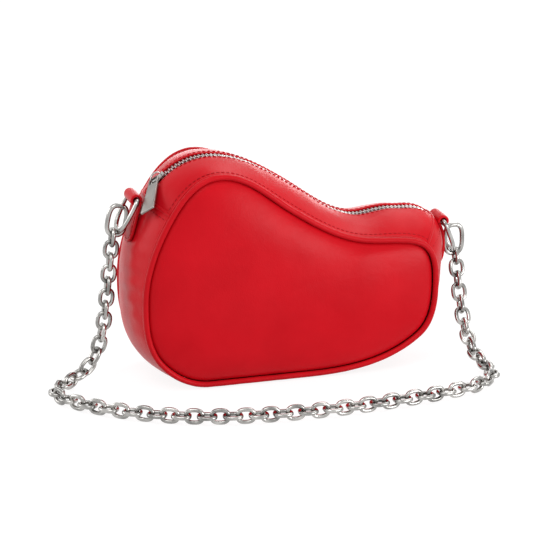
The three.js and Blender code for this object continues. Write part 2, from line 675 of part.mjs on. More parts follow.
// Chain: from the left ring it hangs down, lies round the front and climbs to the right ring.
// Places are shares of the width between the rings, of the reach to the front and of the end's height.
const onGround = LINK_WIDTH / 2 + GAP;
const chainSpan = chainEnds.right.x - chainEnds.left.x;
const chainFront = PANEL_SPACING / 2 + CHAIN_REACH;
const routePoint = (across, forward, height) => vec(
  chainEnds.left.x + across * chainSpan,
  -forward * chainFront,
  Math.max(onGround, height),
);
const leftDrop = (across, forward, share) => routePoint(across, forward, share * chainEnds.left.z);
const rightClimb = (across, forward, share) => routePoint(across, forward, share * chainEnds.right.z);
const lying = (across, forward) => routePoint(across, forward, onGround);
const CHAIN_ROUTE = [
  chainEnds.left,
  leftDrop(-0.011, 0, 0.77), leftDrop(-0.022, 0, 0.545), leftDrop(-0.035, 0, 0.337),
  leftDrop(-0.056, 0.005, 0.185), leftDrop(-0.088, 0.024, 0.1),
  lying(-0.138, 0.085), lying(-0.18, 0.18), lying(-0.196, 0.31), lying(-0.166, 0.44),
  lying(-0.122, 0.56), lying(-0.02, 0.75), lying(0.111, 0.9), lying(0.251, 0.982),
  lying(0.395, 1.015), lying(0.542, 1.015), lying(0.685, 0.985), lying(0.819, 0.935),
  lying(0.925, 0.87), lying(0.99, 0.74), rightClimb(1.003, 0.57, 0.085),
  rightClimb(0.998, 0.39, 0.13), rightClimb(0.996, 0.25, 0.26), rightClimb(0.997, 0.15, 0.44),
  rightClimb(0.998, 0.075, 0.66),
  chainEnds.right,
];
const chainPath = new THREE.CatmullRomCurve3(CHAIN_ROUTE, false, 'centripetal');
chainPath.arcLengthDivisions = 2000;

// Links bear on each other inside a run, and runs keep a gap
const bearing = LINK_LENGTH - 4 * LINK_WIRE;
const firstCentre = LINK_LENGTH / 2 - LINK_WIRE;
const chainLength = chainPath.getLength();
const span = chainLength - 2 * firstCentre;
const meanPitch = bearing + LINK_BITE - (RUN_GAP + LINK_BITE) / LINKS_PER_RUN;
const linkCount = 2 * Math.floor((1 + span / meanPitch) / 2);
const runCount = Math.ceil(linkCount / LINKS_PER_RUN);
const runGap = bearing - RUN_GAP;
const linkPitch = (span - (runCount - 1) * runGap) / (linkCount - runCount);
const oval = new Oval(LINK_LENGTH / 2 - LINK_WIRE, LINK_WIDTH / 2 - LINK_WIRE, LINK_SQUARENESS, LINK_STEPS);

// A link's wire is square with its flats along and across the link, so that links seat flat on each other
function linkSolid() {
  const corner = LINK_WIRE / Math.cos(Math.PI / LINK_STEPS);
  const outer = [];
  const inner = [];
  for (let k = 0; k < LINK_STEPS; k += 1) {
    const at = oval.getPoint(k / LINK_STEPS);
    const along = oval.getTangent(k / LINK_STEPS);
    const out = vec(along.y, -along.x, 0);
    const wire = (offset, height) => at.clone().addScaledVector(out, offset).setZ(height);
    outer.push([wire(corner, -LINK_WIRE), wire(corner, LINK_WIRE)]);
    inner.push([wire(-corner, -LINK_WIRE), wire(-corner, LINK_WIRE)]);
  }
  const points = outer.flatMap(([low, high], k) => [low, high, inner[k][1], inner[k][0]]);
  const triangles = [];
  for (let k = 0; k < LINK_STEPS; k += 1) {
    const next = (k + 1) % LINK_STEPS;
    for (let j = 0; j < 4; j += 1) {
      const side = (j + 1) % 4;
      const [a, b, c, d] = [4 * k + j, 4 * next + j, 4 * next + side, 4 * k + side];
      triangles.push([a, b, c], [a, c, d]);
    }
  }
  return closedGeometry(points, triangles);
}

function linkAt(distance, turned) {
  const share = THREE.MathUtils.clamp(distance / chainLength, 0, 1);
  const along = chainPath.getTangentAt(share);
  const level = vec(along.y, -along.x, 0).normalize();
  const upright = level.clone().cross(along);
  const link = linkSolid();
  const matrix = turned
    ? new THREE.Matrix4().makeBasis(along, level, along.clone().cross(level))
    : new THREE.Matrix4().makeBasis(along, upright, along.clone().cross(upright));
  return link.applyMatrix4(matrix.setPosition(chainPath.getPointAt(share)));
}

for (let run = 0; run < runCount; run += 1) {
  const first = run * LINKS_PER_RUN;
  const runStart = firstCentre + (first - run) * linkPitch + run * runGap;
  const count = Math.min(LINKS_PER_RUN, linkCount - first);
  const links = Array.from({ length: count }, (_, k) => (
    linkAt(runStart + k * linkPitch, (first + k) % 2 === 0)));
  addPiece(`chain_run_${String(run + 1).padStart(2, '0')}`, join(links), SILVER);
}

pivots.zip_pull = pullPivot.clone().applyMatrix4(sliderFrame.matrix).toArray();
pivots.zip_pull_axis = vec(-Math.sin(yaw), Math.cos(yaw), 0)
  .transformDirection(sliderFrame.matrix).toArray();
bag.userData.pivots = pivots;

export default bag;
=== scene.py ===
import math

import bmesh
import bpy
import numpy as np
from mathutils import Matrix, Vector, noise


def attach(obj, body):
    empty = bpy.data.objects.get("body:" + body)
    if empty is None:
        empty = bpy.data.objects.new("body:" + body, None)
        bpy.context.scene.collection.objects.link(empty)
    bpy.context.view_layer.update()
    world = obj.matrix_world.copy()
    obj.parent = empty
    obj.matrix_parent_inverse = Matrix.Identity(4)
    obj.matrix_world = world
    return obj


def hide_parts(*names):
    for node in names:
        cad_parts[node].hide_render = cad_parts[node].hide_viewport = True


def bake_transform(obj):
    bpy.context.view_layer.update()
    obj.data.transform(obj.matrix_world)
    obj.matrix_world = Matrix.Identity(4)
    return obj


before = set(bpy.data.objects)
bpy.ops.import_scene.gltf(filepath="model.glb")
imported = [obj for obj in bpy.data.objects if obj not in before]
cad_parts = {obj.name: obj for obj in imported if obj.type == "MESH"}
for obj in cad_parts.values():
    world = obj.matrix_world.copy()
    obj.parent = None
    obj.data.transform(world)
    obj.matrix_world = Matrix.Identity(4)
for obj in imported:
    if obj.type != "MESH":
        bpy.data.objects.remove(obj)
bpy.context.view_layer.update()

# Sizes repeated from the part's source, in millimetres
MM = 0.001
PANEL_WIDTH = 206.4
PANEL_SPACING = 70.0
HUMP_HEIGHT, HUMP_X = 145.8, -51.0
SADDLE_HEIGHT, SADDLE_X = 93.0, 50.0
SHOULDER_HEIGHT, SHOULDER_X = 89.6, 82.0
SLOPE_HEIGHT, SIDE_HEIGHT = 118.0, 60.0
BASE_LEFT_X, BASE_RIGHT_X = -58.0, 12.0
LOWER_RIGHT_INSET, LOWER_RIGHT_HEIGHT = 12.0, 21.0
LOWER_LEFT_INSET, LOWER_LEFT_HEIGHT = 10.2, 18.0
RIGHT_SEAM_INSET, RIGHT_SEAM_DROP = 6.7, 6.2
LEFT_SEAM_INSET, LEFT_SEAM_DROP = 19.2, 25.2
LOWER_RIGHT_CROWN, RIGHT_SIDE_CROWN, RIGHT_SEAM_CROWN = 3.5, 11.5, 18.5
SHOULDER_CROWN, SADDLE_CROWN, SLOPE_CROWN, HUMP_CROWN = 14.0, 9.0, 12.0, 6.0
LEFT_SEAM_CROWN, LEFT_SIDE_CROWN, LOWER_LEFT_CROWN = 10.0, 5.5, 6.0
PANEL_MIDDLE = (-12.0, 62.8)
PANEL_PUFF = 9.0
PIPING_RADIUS, LEATHER, GAP = 2.0, 1.6, 0.3
EDGE_RISE, BASE_CROWN, BASE_ROLL = 0.8, 2.0, 0.42
CROWN_ROUNDNESS = 2.2
ZIP_MOUTH = 10.0
TAPE_PARTING, TAPE_WIDTH, TAPE_THICKNESS = 2.2, 9.0, 0.7
TOOTH_PITCH, TOOTH_COUNT = 2.8, 73
TOOTH_REACH, TOOTH_ROOT, TOOTH_RISE, TOOTH_FOOT = 0.9, 2.4, 1.2, 0.6
SLIDER_FROM_SEAM, SLIDER_LENGTH, SLIDER_WIDTH, SLIDER_TAIL = 14.0, 12.0, 9.2, 6.0
SLIDER_PLATE, SLIDER_CLEARANCE = 1.1, 0.55
BRIDGE_SPAN, BRIDGE_HEIGHT, BRIDGE_WIDTH, BRIDGE_THICKNESS = 8.88, 4.4, 1.4, 0.8
PULL_LENGTH, PULL_WIDTH, PULL_TOP, PULL_THICKNESS = 31.0, 12.0, 8.2, 1.6
PULL_EYE, PULL_CHEEK, PULL_PLAY, PULL_LIFT = 5.4, 0.8, 0.9, 0.4
PULL_YAW, PULL_DROOP = math.radians(53), math.radians(4)
TAB_WIDTH, TAB_LEATHER, TAB_LEG = 19.0, 2.0, 31.0
D_RING_WIRE, D_RING_WIDTH, D_RING_DROP = 1.6, 26.4, 25.0
STRAP_RING_WIRE, STRAP_RING_WIDTH, STRAP_RING_HEIGHT = 1.7, 16.0, 24.0
STRAP_RING_SQUARENESS = 2.9
LINK_WIRE, LINK_LENGTH, LINK_WIDTH, LINK_SQUARENESS = 1.25, 13.4, 11.2, 2.6
LINK_COUNT, LINKS_PER_RUN, RUN_GAP = 70, 7, 0.6
CHAIN_REACH = 76.0
LEFT_PIVOT = np.array([-101.832, 0.0, 129.461])
RIGHT_PIVOT = np.array([117.425, 0.0, 95.343])

GUSSET_HALF = PANEL_SPACING / 2 - PIPING_RADIUS - GAP
HALF_WIDTH = PANEL_WIDTH / 2
PANEL_LIFT = EDGE_RISE + BASE_CROWN
SHARP_ANGLE = math.radians(42)
BEVEL_ANGLE = 0.5


# Materials
def new_material(name):
    material = bpy.data.materials.new(name)
    material.use_nodes = True
    tree = material.node_tree
    return material, tree, tree.nodes["Principled BSDF"]


def add_node(tree, kind, settings=None, **inputs):
    node = tree.nodes.new(kind)
    for key, value in (settings or {}).items():
        setattr(node, key, value)
    for key, value in inputs.items():
        node.inputs[key.replace("_", " ")].default_value = value
    return node


def object_points(tree):
    return add_node(tree, "ShaderNodeTexCoord").outputs["Object"]


def ramp(tree, source, stops):
    node = add_node(tree, "ShaderNodeValToRGB")
    elements = node.color_ramp.elements
    while len(elements) < len(stops):
        elements.new(0.5)
    for element, (place, colour) in zip(elements, stops):
        element.position = place
        element.color = (*colour, 1.0)
    tree.links.new(source, node.inputs["Fac"])
    return node.outputs["Color"]


def bump(tree, height, strength, distance, before=None):
    node = add_node(tree, "ShaderNodeBump", Strength=strength, Distance=distance)
    tree.links.new(height, node.inputs["Height"])
    if before is not None:
        tree.links.new(before, node.inputs["Normal"])
    return node.outputs["Normal"]


def shader_group(name, inputs, outputs):
    """An empty group with named sockets, and its two end nodes."""
    group = bpy.data.node_groups.new(name, "ShaderNodeTree")
    for sockets, way in ((inputs, "INPUT"), (outputs, "OUTPUT")):
        for label, kind in sockets.items():
            group.interface.new_socket(label, in_out=way, socket_type=f"NodeSocket{kind}")
    return group, group.nodes.new("NodeGroupInput"), group.nodes.new("NodeGroupOutput")


def leather_grain():
    """Pebbled grain over soft waves: shade and wear from 0 to 1, and the bumped normal."""
    group, given, out = shader_group("leather_grain", {"Pebbles": "Float", "Relief": "Float"},
                                     {"Shade": "Float", "Wear": "Float", "Normal": "Vector"})
    points = object_points(group)
    cells = add_node(group, "ShaderNodeTexVoronoi", {"feature": "SMOOTH_F1"}, Smoothness=0.6)
    pores = add_node(group, "ShaderNodeTexNoise", Scale=2600.0, Detail=3.0)
    waves = add_node(group, "ShaderNodeTexNoise", Scale=150.0, Detail=3.0)
    cloud = add_node(group, "ShaderNodeTexNoise", Scale=26.0, Detail=4.0)
    for node in (cells, pores, waves, cloud):
        group.links.new(points, node.inputs["Vector"])
    normal = bump(group, waves.outputs["Fac"], 0.10, 0.0012)
    pebbled = bump(group, cells.outputs["Distance"], 0.16, 0.00035, normal)
    group.links.new(given.outputs["Pebbles"], cells.inputs["Scale"])
    group.links.new(given.outputs["Relief"], pebbled.node.inputs["Strength"])
    group.links.new(bump(group, pores.outputs["Fac"], 0.10, 0.0002, pebbled), out.inputs["Normal"])
    group.links.new(cloud.outputs["Fac"], out.inputs["Shade"])
    group.links.new(cells.outputs["Distance"], out.inputs["Wear"])
    return group


def cloth_weave():
    """Crossing threads with a little fuzz: a mask that is 1 on the threads, and the bumped normal."""
    group, given, out = shader_group("cloth_weave", {"Threads": "Float"},
                                     {"Mask": "Float", "Normal": "Vector"})
    points = object_points(group)
    warp = add_node(group, "ShaderNodeTexWave", {"bands_direction": "X"}, Distortion=0.6)
    weft = add_node(group, "ShaderNodeTexWave", {"bands_direction": "Y"}, Distortion=0.6)
    fuzz = add_node(group, "ShaderNodeTexNoise", Scale=1800.0, Detail=3.0)
    both = add_node(group, "ShaderNodeMath", {"operation": "MULTIPLY"})
    for node in (warp, weft, fuzz):
        group.links.new(points, node.inputs["Vector"])
    for node, socket in ((warp, 0), (weft, 1)):
        group.links.new(given.outputs["Threads"], node.inputs["Scale"])
        group.links.new(node.outputs["Fac"], both.inputs[socket])
    normal = bump(group, both.outputs["Value"], 0.5, 0.0002)
    group.links.new(bump(group, fuzz.outputs["Fac"], 0.25, 0.0002, normal), out.inputs["Normal"])
    group.links.new(both.outputs["Value"], out.inputs["Mask"])
    return group


def metal_wear_and_reflection():
    """Fine scratches drawn out along a brushing, over broad patches that are partly wear smears and partly
    painted dark reflection, and the bumped normal.
    """
    group, given, out = shader_group("metal_wear_and_reflection", {"Brushing": "Vector"},
                                     {"Smear_and_dark_reflection": "Float", "Scratch": "Float", "Normal": "Vector"})
    points = object_points(group)
    stretch = add_node(group, "ShaderNodeMapping")
    scratch = add_node(group, "ShaderNodeTexNoise", Scale=900.0, Detail=4.0)
    patch_noise = add_node(group, "ShaderNodeTexNoise", Scale=90.0, Detail=3.0)
    group.links.new(points, stretch.inputs["Vector"])
    group.links.new(given.outputs["Brushing"], stretch.inputs["Scale"])
    group.links.new(stretch.outputs["Vector"], scratch.inputs["Vector"])
    group.links.new(points, patch_noise.inputs["Vector"])
    group.links.new(patch_noise.outputs["Fac"], out.inputs["Smear_and_dark_reflection"])
    group.links.new(scratch.outputs["Fac"], out.inputs["Scratch"])
    group.links.new(bump(group, scratch.outputs["Fac"], 0.06, 0.0002), out.inputs["Normal"])
    return group


GRAIN, WEAVE, WEAR_AND_REFLECTION = leather_grain(), cloth_weave(), metal_wear_and_reflection()
LEATHER_SHEEN, LEATHER_SHEEN_TINT = 0.16, (1.0, 0.55, 0.57, 1.0)
CLOTH_SHEEN = 0.15


def leather(name, deep, bright, rough, pebbles, relief):
    material, tree, shader = new_material(name)
    grain = add_node(tree, "ShaderNodeGroup", {"node_tree": GRAIN}, Pebbles=pebbles, Relief=relief)
    colour = ramp(tree, grain.outputs["Shade"], [(0.30, deep), (0.70, bright)])
    gloss = ramp(tree, grain.outputs["Wear"], [(0.0, (rough,) * 3), (1.0, (rough + 0.14,) * 3)])
    tree.links.new(colour, shader.inputs["Base Color"])
    tree.links.new(gloss, shader.inputs["Roughness"])
    tree.links.new(grain.outputs["Normal"], shader.inputs["Normal"])
    shader.inputs["Specular IOR Level"].default_value = LEATHER_SHEEN
    shader.inputs["Specular Tint"].default_value = LEATHER_SHEEN_TINT
    return material


def woven(name, deep, bright, threads, rough=0.85):
    material, tree, shader = new_material(name)
    weave = add_node(tree, "ShaderNodeGroup", {"node_tree": WEAVE}, Threads=threads)
    colour = ramp(tree, weave.outputs["Mask"], [(0.0, deep), (0.6, bright)])
    tree.links.new(colour, shader.inputs["Base Color"])
    tree.links.new(weave.outputs["Normal"], shader.inputs["Normal"])
    shader.inputs["Roughness"].default_value = rough
    shader.inputs["Specular IOR Level"].default_value = CLOTH_SHEEN
    return material


def metal(name, colour, dark_smear_and_reflection, rough, spread, brushing=(1, 1, 1)):
    material, tree, shader = new_material(name)
    wear = add_node(tree, "ShaderNodeGroup", {"node_tree": WEAR_AND_REFLECTION}, Brushing=brushing)
    # The patches darken the base colour: wear smears, and on the chain and rings mostly painted dark
    # reflection
    shade = ramp(tree, wear.outputs["Smear_and_dark_reflection"], [(0.35, dark_smear_and_reflection), (0.65, colour)])
    gloss = ramp(tree, wear.outputs["Scratch"], [(0.3, (rough,) * 3), (0.7, (rough + spread,) * 3)])
    tree.links.new(shade, shader.inputs["Base Color"])
    tree.links.new(gloss, shader.inputs["Roughness"])
    tree.links.new(wear.outputs["Normal"], shader.inputs["Normal"])
    shader.inputs["Metallic"].default_value = 1.0
    return material


RED_LEATHER = leather("red_leather", (0.56, 0.0046, 0.0108), (0.64, 0.0062, 0.0138),
                      rough=0.27, pebbles=1250.0, relief=0.16)
RED_EDGE = leather("red_edge_leather", (0.53, 0.0050, 0.0110), (0.63, 0.0066, 0.0138),
                   rough=0.30, pebbles=1500.0, relief=0.12)
RED_TAPE = woven("red_tape", (0.34, 0.009, 0.014), (0.57, 0.020, 0.029), threads=900.0)
# The thread is coloured darker than the leather: partly its own colour, partly painted shade for the shadow
# the stitches sit in
RED_THREAD_SHADED = woven("red_thread_shaded", (0.36, 0.006, 0.011), (0.50, 0.010, 0.016), threads=1500.0, rough=0.7)
LINING = woven("lining_cloth", (0.012, 0.011, 0.011), (0.05, 0.045, 0.045), threads=700.0)
BOARD = woven("board_felt", (0.55, 0.50, 0.42), (0.72, 0.68, 0.60), threads=300.0, rough=0.95)
# The chain's and rings' second colours are far darker than their first: painted dark reflection as well as
# wear
CHAIN_METAL = metal("chain_metal", (0.52, 0.507, 0.487), (0.22, 0.215, 0.206), rough=0.15, spread=0.10)
RING_METAL = metal("ring_metal", (0.50, 0.488, 0.47), (0.28, 0.273, 0.263), rough=0.13, spread=0.10)
TOOTH_METAL = metal("tooth_metal", (0.62, 0.607, 0.594), (0.50, 0.49, 0.478), rough=0.24, spread=0.10)
PULL_METAL = metal("pull_metal", (0.33, 0.31, 0.29), (0.27, 0.254, 0.238), rough=0.36, spread=0.14,
                   brushing=(1, 1, 0.12))


# Meshes
def piece(name, shapes, material, body="bag", nodes=()):
    """One object from shapes in millimetres."""
    mesh = bpy.data.meshes.new(name)
    whole = bmesh.new()
    for shape in shapes:
        shape.to_mesh(mesh)
        shape.free()
        whole.from_mesh(mesh)
    bmesh.ops.scale(whole, vec=(MM, MM, MM), verts=whole.verts)
    whole.to_mesh(mesh)
    whole.free()
    mesh.shade_smooth()
    mesh.set_sharp_from_angle(angle=SHARP_ANGLE)
    obj = bpy.data.objects.new(name, mesh)
    bpy.context.scene.collection.objects.link(obj)
    mesh.materials.append(material)
    if body:
        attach(obj, body)
    if nodes:
        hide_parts(*nodes)
    return obj


def template(shape):
    """A mesh to be copied many times."""
    mesh = bpy.data.meshes.new("template")
    shape.to_mesh(mesh)
    shape.free()
    return mesh


def copies(mesh, axes, places):
    """A template's copies, each with its own columns of axes and its place."""
    shape = bmesh.new()
    for columns, place in zip(axes, places):
        moved = mesh.copy()
        moved.transform(Matrix.Translation(Vector(place)) @ Matrix(np.asarray(columns).tolist()).to_4x4())
        shape.from_mesh(moved)
        bpy.data.meshes.remove(moved)
    return shape


def unit(v):
    v = np.asarray(v, float)
    return v / np.maximum(np.linalg.norm(v, axis=-1, keepdims=True), 1e-9)


def wrapped(rows):
    """A grid laid over rows of points, with doubles merged where it meets itself."""
    rows = np.asarray(rows, float)
    shape = bmesh.new()
    bmesh.ops.create_grid(shape, x_segments=rows.shape[1] - 1, y_segments=rows.shape[0] - 1, size=1)
    for vert, place in zip(shape.verts, rows.reshape(-1, 3)):
        vert.co = place
    bmesh.ops.remove_doubles(shape, verts=shape.verts, dist=1e-4)
    return shape


def loft(sections, closed=False):
    """A skin over closed loops of points, one after another, with filled ends unless the row closes."""
    rows = np.asarray(sections, float)
    rows = np.concatenate([rows, rows[:, :1]], axis=1)
    if closed:
        rows = np.concatenate([rows, rows[:1]])
    shape = wrapped(rows)
    if not closed:
        bmesh.ops.holes_fill(shape, edges=[edge for edge in shape.edges if edge.is_boundary])
    bmesh.ops.recalc_face_normals(shape, faces=shape.faces)
    return shape


def raise_plate(shape, thickness):
    """Extrudes the flat faces of a shape upwards."""
    raised = bmesh.ops.extrude_face_region(shape, geom=shape.faces[:])["geom"]
    top = [part for part in raised if isinstance(part, bmesh.types.BMVert)]
    bmesh.ops.translate(shape, vec=(0, 0, thickness), verts=top)
    bmesh.ops.recalc_face_normals(shape, faces=shape.faces)


def round_edges(shape, radius, segments, upright):
    """Bevels a plate's upright edges, or the edges of its two faces."""
    picked = []
    for edge in shape.edges:
        rise = abs(edge.verts[0].co.z - edge.verts[1].co.z)
        if edge.calc_face_angle(0) > BEVEL_ANGLE and (rise > 1e-3) == upright:
            picked.append(edge)
    bmesh.ops.bevel(shape, geom=picked, offset=radius, segments=segments, profile=0.5, affect="EDGES",
                    material=-1)


def plate(outline, low, high, bevel):
    """A flat plate from an outline, with the edges of its faces bevelled."""
    shape = bmesh.new()
    shape.faces.new([shape.verts.new((x, y, low)) for x, y in outline])
    raise_plate(shape, high - low)
    round_edges(shape, bevel, 2, False)
    return shape


def ellipse(half_u, half_v, count, squareness=2.0):
    """A closed loop of points, squarer than an ellipse where squareness is over 2."""
    angle = (np.arange(count) + 0.5) * 2 * math.pi / count

    def bow(value):
        return np.sign(value) * np.abs(value) ** (2 / squareness)

    return np.stack([half_u * bow(np.cos(angle)), half_v * bow(np.sin(angle))], axis=1)


def tangents(path, closed):
    if closed:
        return unit(np.roll(path, -1, axis=0) - np.roll(path, 1, axis=0))
    return unit(np.gradient(path, axis=0))


def sweep(path, section, up, closed=False, scale=None):
    """A section's loop of (across, up) carried along a path."""
    path = np.asarray(path, float)
    along = tangents(path, closed)
    up = np.broadcast_to(np.asarray(up, float), path.shape)
    up = unit(up - (up * along).sum(axis=1, keepdims=True) * along)
    across = np.cross(along, up)
    size = np.ones(len(path)) if scale is None else np.asarray(scale)
    loops = (path[:, None] + across[:, None] * section[None, :, :1] * size[:, None, None]
             + up[:, None] * section[None, :, 1:] * size[:, None, None])
    return loft(loops, closed)


def catmull(points, closed, steps):
    """Centripetal spline through points."""
    points = np.asarray(points, float)
    if closed:
        padded = np.concatenate([points[-1:], points, points[:2]])
    else:
        padded = np.concatenate([[2 * points[0] - points[1]], points, [2 * points[-1] - points[-2]]])
    result = []
    for p0, p1, p2, p3 in zip(padded, padded[1:], padded[2:], padded[3:]):
        d = [max(np.linalg.norm(b - a) ** 0.5, 1e-6) for a, b in ((p0, p1), (p1, p2), (p2, p3))]
        m1 = (p1 - p0) / d[0] - (p2 - p0) / (d[0] + d[1]) + (p2 - p1) / d[1]
        m2 = (p2 - p1) / d[1] - (p3 - p1) / (d[1] + d[2]) + (p3 - p2) / d[2]
        m1, m2 = m1 * d[1], m2 * d[1]
        for t in np.arange(steps) / steps:
            near, far = 2 * t ** 3 - 3 * t ** 2 + 1, 3 * t ** 2 - 2 * t ** 3
            leave, arrive = t ** 3 - 2 * t ** 2 + t, t ** 3 - t ** 2
            result.append(near * p1 + leave * m1 + far * p2 + arrive * m2)
    if not closed:
        result.append(points[-1])
    return np.array(result)


def walk(path, distances):
    """Points at given lengths along a path."""
    along = np.concatenate([[0], np.cumsum(np.linalg.norm(np.diff(path, axis=0), axis=1))])
    return np.stack([np.interp(distances, along, path[:, k]) for k in range(3)], axis=-1), along[-1]


def wobble(points, scale, height):
    """Soft, repeatable unevenness for each point."""
    return height * np.array([noise.noise(Vector(p * scale)) for p in points])


def stitches(places, along, normals, length=2.7, radius=0.36):
    """A row of sewn stitches, each a rounded grain half sunk in the leather."""
    grain = bmesh.new()
    bmesh.ops.create_uvsphere(grain, u_segments=6, v_segments=5, radius=radius)
    bmesh.ops.rotate(grain, cent=(0, 0, 0), matrix=Matrix.Rotation(math.pi / 2, 3, "Y"), verts=grain.verts)
    bmesh.ops.scale(grain, vec=(length / 2 / radius, 1, 1), verts=grain.verts)
    axes = [np.stack([way, np.cross(out, way), out], axis=1) for way, out in zip(along, normals)]
    return [copies(template(grain), axes, places)]


# Outline of the panels, anticlockwise: x, height, heading in degrees, crown of the gusset, flatness
ANCHORS = [
    (BASE_LEFT_X, 0, 0, BASE_CROWN, 1),
    (BASE_RIGHT_X, 0, 0, BASE_CROWN, 1),
    (HALF_WIDTH - LOWER_RIGHT_INSET, LOWER_RIGHT_HEIGHT, 39, LOWER_RIGHT_CROWN, 0),
    (HALF_WIDTH, SIDE_HEIGHT, 90, RIGHT_SIDE_CROWN, 0),
    (HALF_WIDTH - RIGHT_SEAM_INSET, SHOULDER_HEIGHT - RIGHT_SEAM_DROP, 134, RIGHT_SEAM_CROWN, 0),
    (SHOULDER_X, SHOULDER_HEIGHT, 171, SHOULDER_CROWN, 0),
    (SADDLE_X, SADDLE_HEIGHT, 169, SADDLE_CROWN, 0),
    (0, SLOPE_HEIGHT, 146, SLOPE_CROWN, 0),
    (HUMP_X, HUMP_HEIGHT, 180, HUMP_CROWN, 0),
    (-HALF_WIDTH + LEFT_SEAM_INSET, HUMP_HEIGHT - LEFT_SEAM_DROP, 239, LEFT_SEAM_CROWN, 0),
    (-HALF_WIDTH, SIDE_HEIGHT, 270, LEFT_SIDE_CROWN, 0),
    (-HALF_WIDTH + LOWER_LEFT_INSET, LOWER_LEFT_HEIGHT, 309, LOWER_LEFT_CROWN, 0),
]
RIGHT_SEAM, LEFT_SEAM = 4, 9


def outline(spacing):
    """Rows of x, z, outward x, outward z, crown and flatness round the panel, and each anchor's row."""
    rows, marks = [], []
    for (x0, z0, h0, c0, f0), (x1, z1, h1, c1, f1) in zip(ANCHORS, ANCHORS[1:] + ANCHORS[:1]):
        start, end = np.array([x0, z0 + PANEL_LIFT]), np.array([x1, z1 + PANEL_LIFT])
        bend = math.radians(max(1, abs((h1 - h0 + 180) % 360 - 180)))
        reach = np.linalg.norm(end - start) * (2 / 3) * math.tan(bend / 4) / math.sin(bend / 2)
        ahead = [np.array([math.cos(math.radians(h)), math.sin(math.radians(h))]) for h in (h0, h1)]
        leave, arrive = start + ahead[0] * reach, end - ahead[1] * reach
        steps = max(4, round(np.linalg.norm(end - start) / spacing))
        marks.append(len(rows))
        for t in np.arange(steps) / steps:
            s = 1 - t
            at = s ** 3 * start + 3 * s * s * t * leave + 3 * s * t * t * arrive + t ** 3 * end
            way = unit(s * s * (leave - start) + 2 * s * t * (arrive - leave) + t * t * (end - arrive))
            ease = t * t * (3 - 2 * t)
            rows.append((*at, way[1], -way[0], c0 + (c1 - c0) * ease, f0 + (f1 - f0) * ease))
    return np.array(rows), marks


RING, MARKS = outline(2.2)
TOP_RUN = RING[MARKS[RIGHT_SEAM]:MARKS[LEFT_SEAM] + 1]
LOW_RUN = np.concatenate([RING[MARKS[LEFT_SEAM]:], RING[:MARKS[RIGHT_SEAM] + 1]])


def skin(run, y, depth):
    """Points of the gusset, y across it and depth in from its outside."""
    across = np.minimum(1, np.abs(y) / GUSSET_HALF)
    arch = 1 - across ** CROWN_ROUNDNESS
    t = np.clip((1 - across) / BASE_ROLL, 0, 1)
    plateau = t * t * (3 - 2 * t)
    rise = EDGE_RISE + run[:, 4] * (arch + (plateau - arch) * run[:, 5]) - depth
    x, z = run[:, 0] + run[:, 2] * rise, run[:, 1] + run[:, 3] * rise
    return np.stack([x, np.broadcast_to(y, rise.shape), z], axis=1)


def outward(run):
    """The way out of the panels' outline at each row."""
    return np.stack([run[:, 2], np.zeros(len(run)), run[:, 3]], axis=1)


def gusset_strip(run, loop, creases=None):
    """A strip of the gusset from a closed loop of (y, depth), softly uneven on its outside."""
    columns = []
    for y, depth in loop:
        column = skin(run, y, depth)
        if depth < 0.3:
            edge = 1 - abs(y) / (GUSSET_HALF + 1)
            lift = (wobble(column, 0.028, 0.55) + wobble(column + 300, 0.09, 0.22)) * (1 - run[:, 5])
            if creases:
                lift = lift + creases(column)
            column = column + outward(run) * (lift * min(1, 4 * edge))[:, None]
        columns.append(column)
    return loft(np.stack(columns, axis=1))


# Side and base gusset
CREASE_DEPTH, CREASE_SPREAD = 0.95, 26.0
CREASE_X, CREASE_Y, CREASE_HEIGHT = -60.0, -12.0, 74.0


def left_creases(points):
    """Slack folds that run across the left end, fading out above and below."""
    x, y, z = points.T
    place = np.exp(-((z - CREASE_HEIGHT) / CREASE_SPREAD) ** 2) * (x < CREASE_X)
    fold = np.sin(z * 0.52 + 1.6 * np.sin(y * 0.07) + 0.04 * y)
    return -CREASE_DEPTH * place * (0.5 + 0.5 * fold) * np.exp(-((y - CREASE_Y) / CREASE_SPREAD) ** 2)


TUCK_DEPTH = 1.2
TUCK = GUSSET_HALF + TUCK_DEPTH
side_across = np.concatenate([[-TUCK], np.linspace(-GUSSET_HALF, GUSSET_HALF, 41), [TUCK]])
side_loop = [(y, TUCK_DEPTH if abs(y) > GUSSET_HALF else 0.0) for y in side_across]
side_loop += [(y, LEATHER) for y in np.linspace(TUCK, -TUCK, 9)]
piece("side_gusset_leather", [gusset_strip(LOW_RUN, side_loop, left_creases)], RED_LEATHER,
      nodes=["side_gusset"])

# Top gussets, folded under along the zip: the fold's points past the mouth's edge and their depths
MOUTH_FOLD = [(0.5, 1.5), (0.08, 1.15), (-0.05, 0.75), (0.1, 0.35), (0.45, 0.1)]
for word, side in (("front", -1), ("back", 1)):
    mouth = ZIP_MOUTH / 2
    top_loop = [(mouth + past, depth) for past, depth in MOUTH_FOLD]
    top_loop += [(y, 0.0) for y in np.linspace(mouth + 1.0, GUSSET_HALF, 22)]
    top_loop += [(TUCK, TUCK_DEPTH), (TUCK, LEATHER + 0.6), (GUSSET_HALF * 0.6, LEATHER)]
    strip = gusset_strip(TOP_RUN, [(side * y, depth) for y, depth in top_loop])
    piece(f"top_gusset_{word}_leather", [strip], RED_LEATHER, nodes=[f"top_gusset_{word}"])


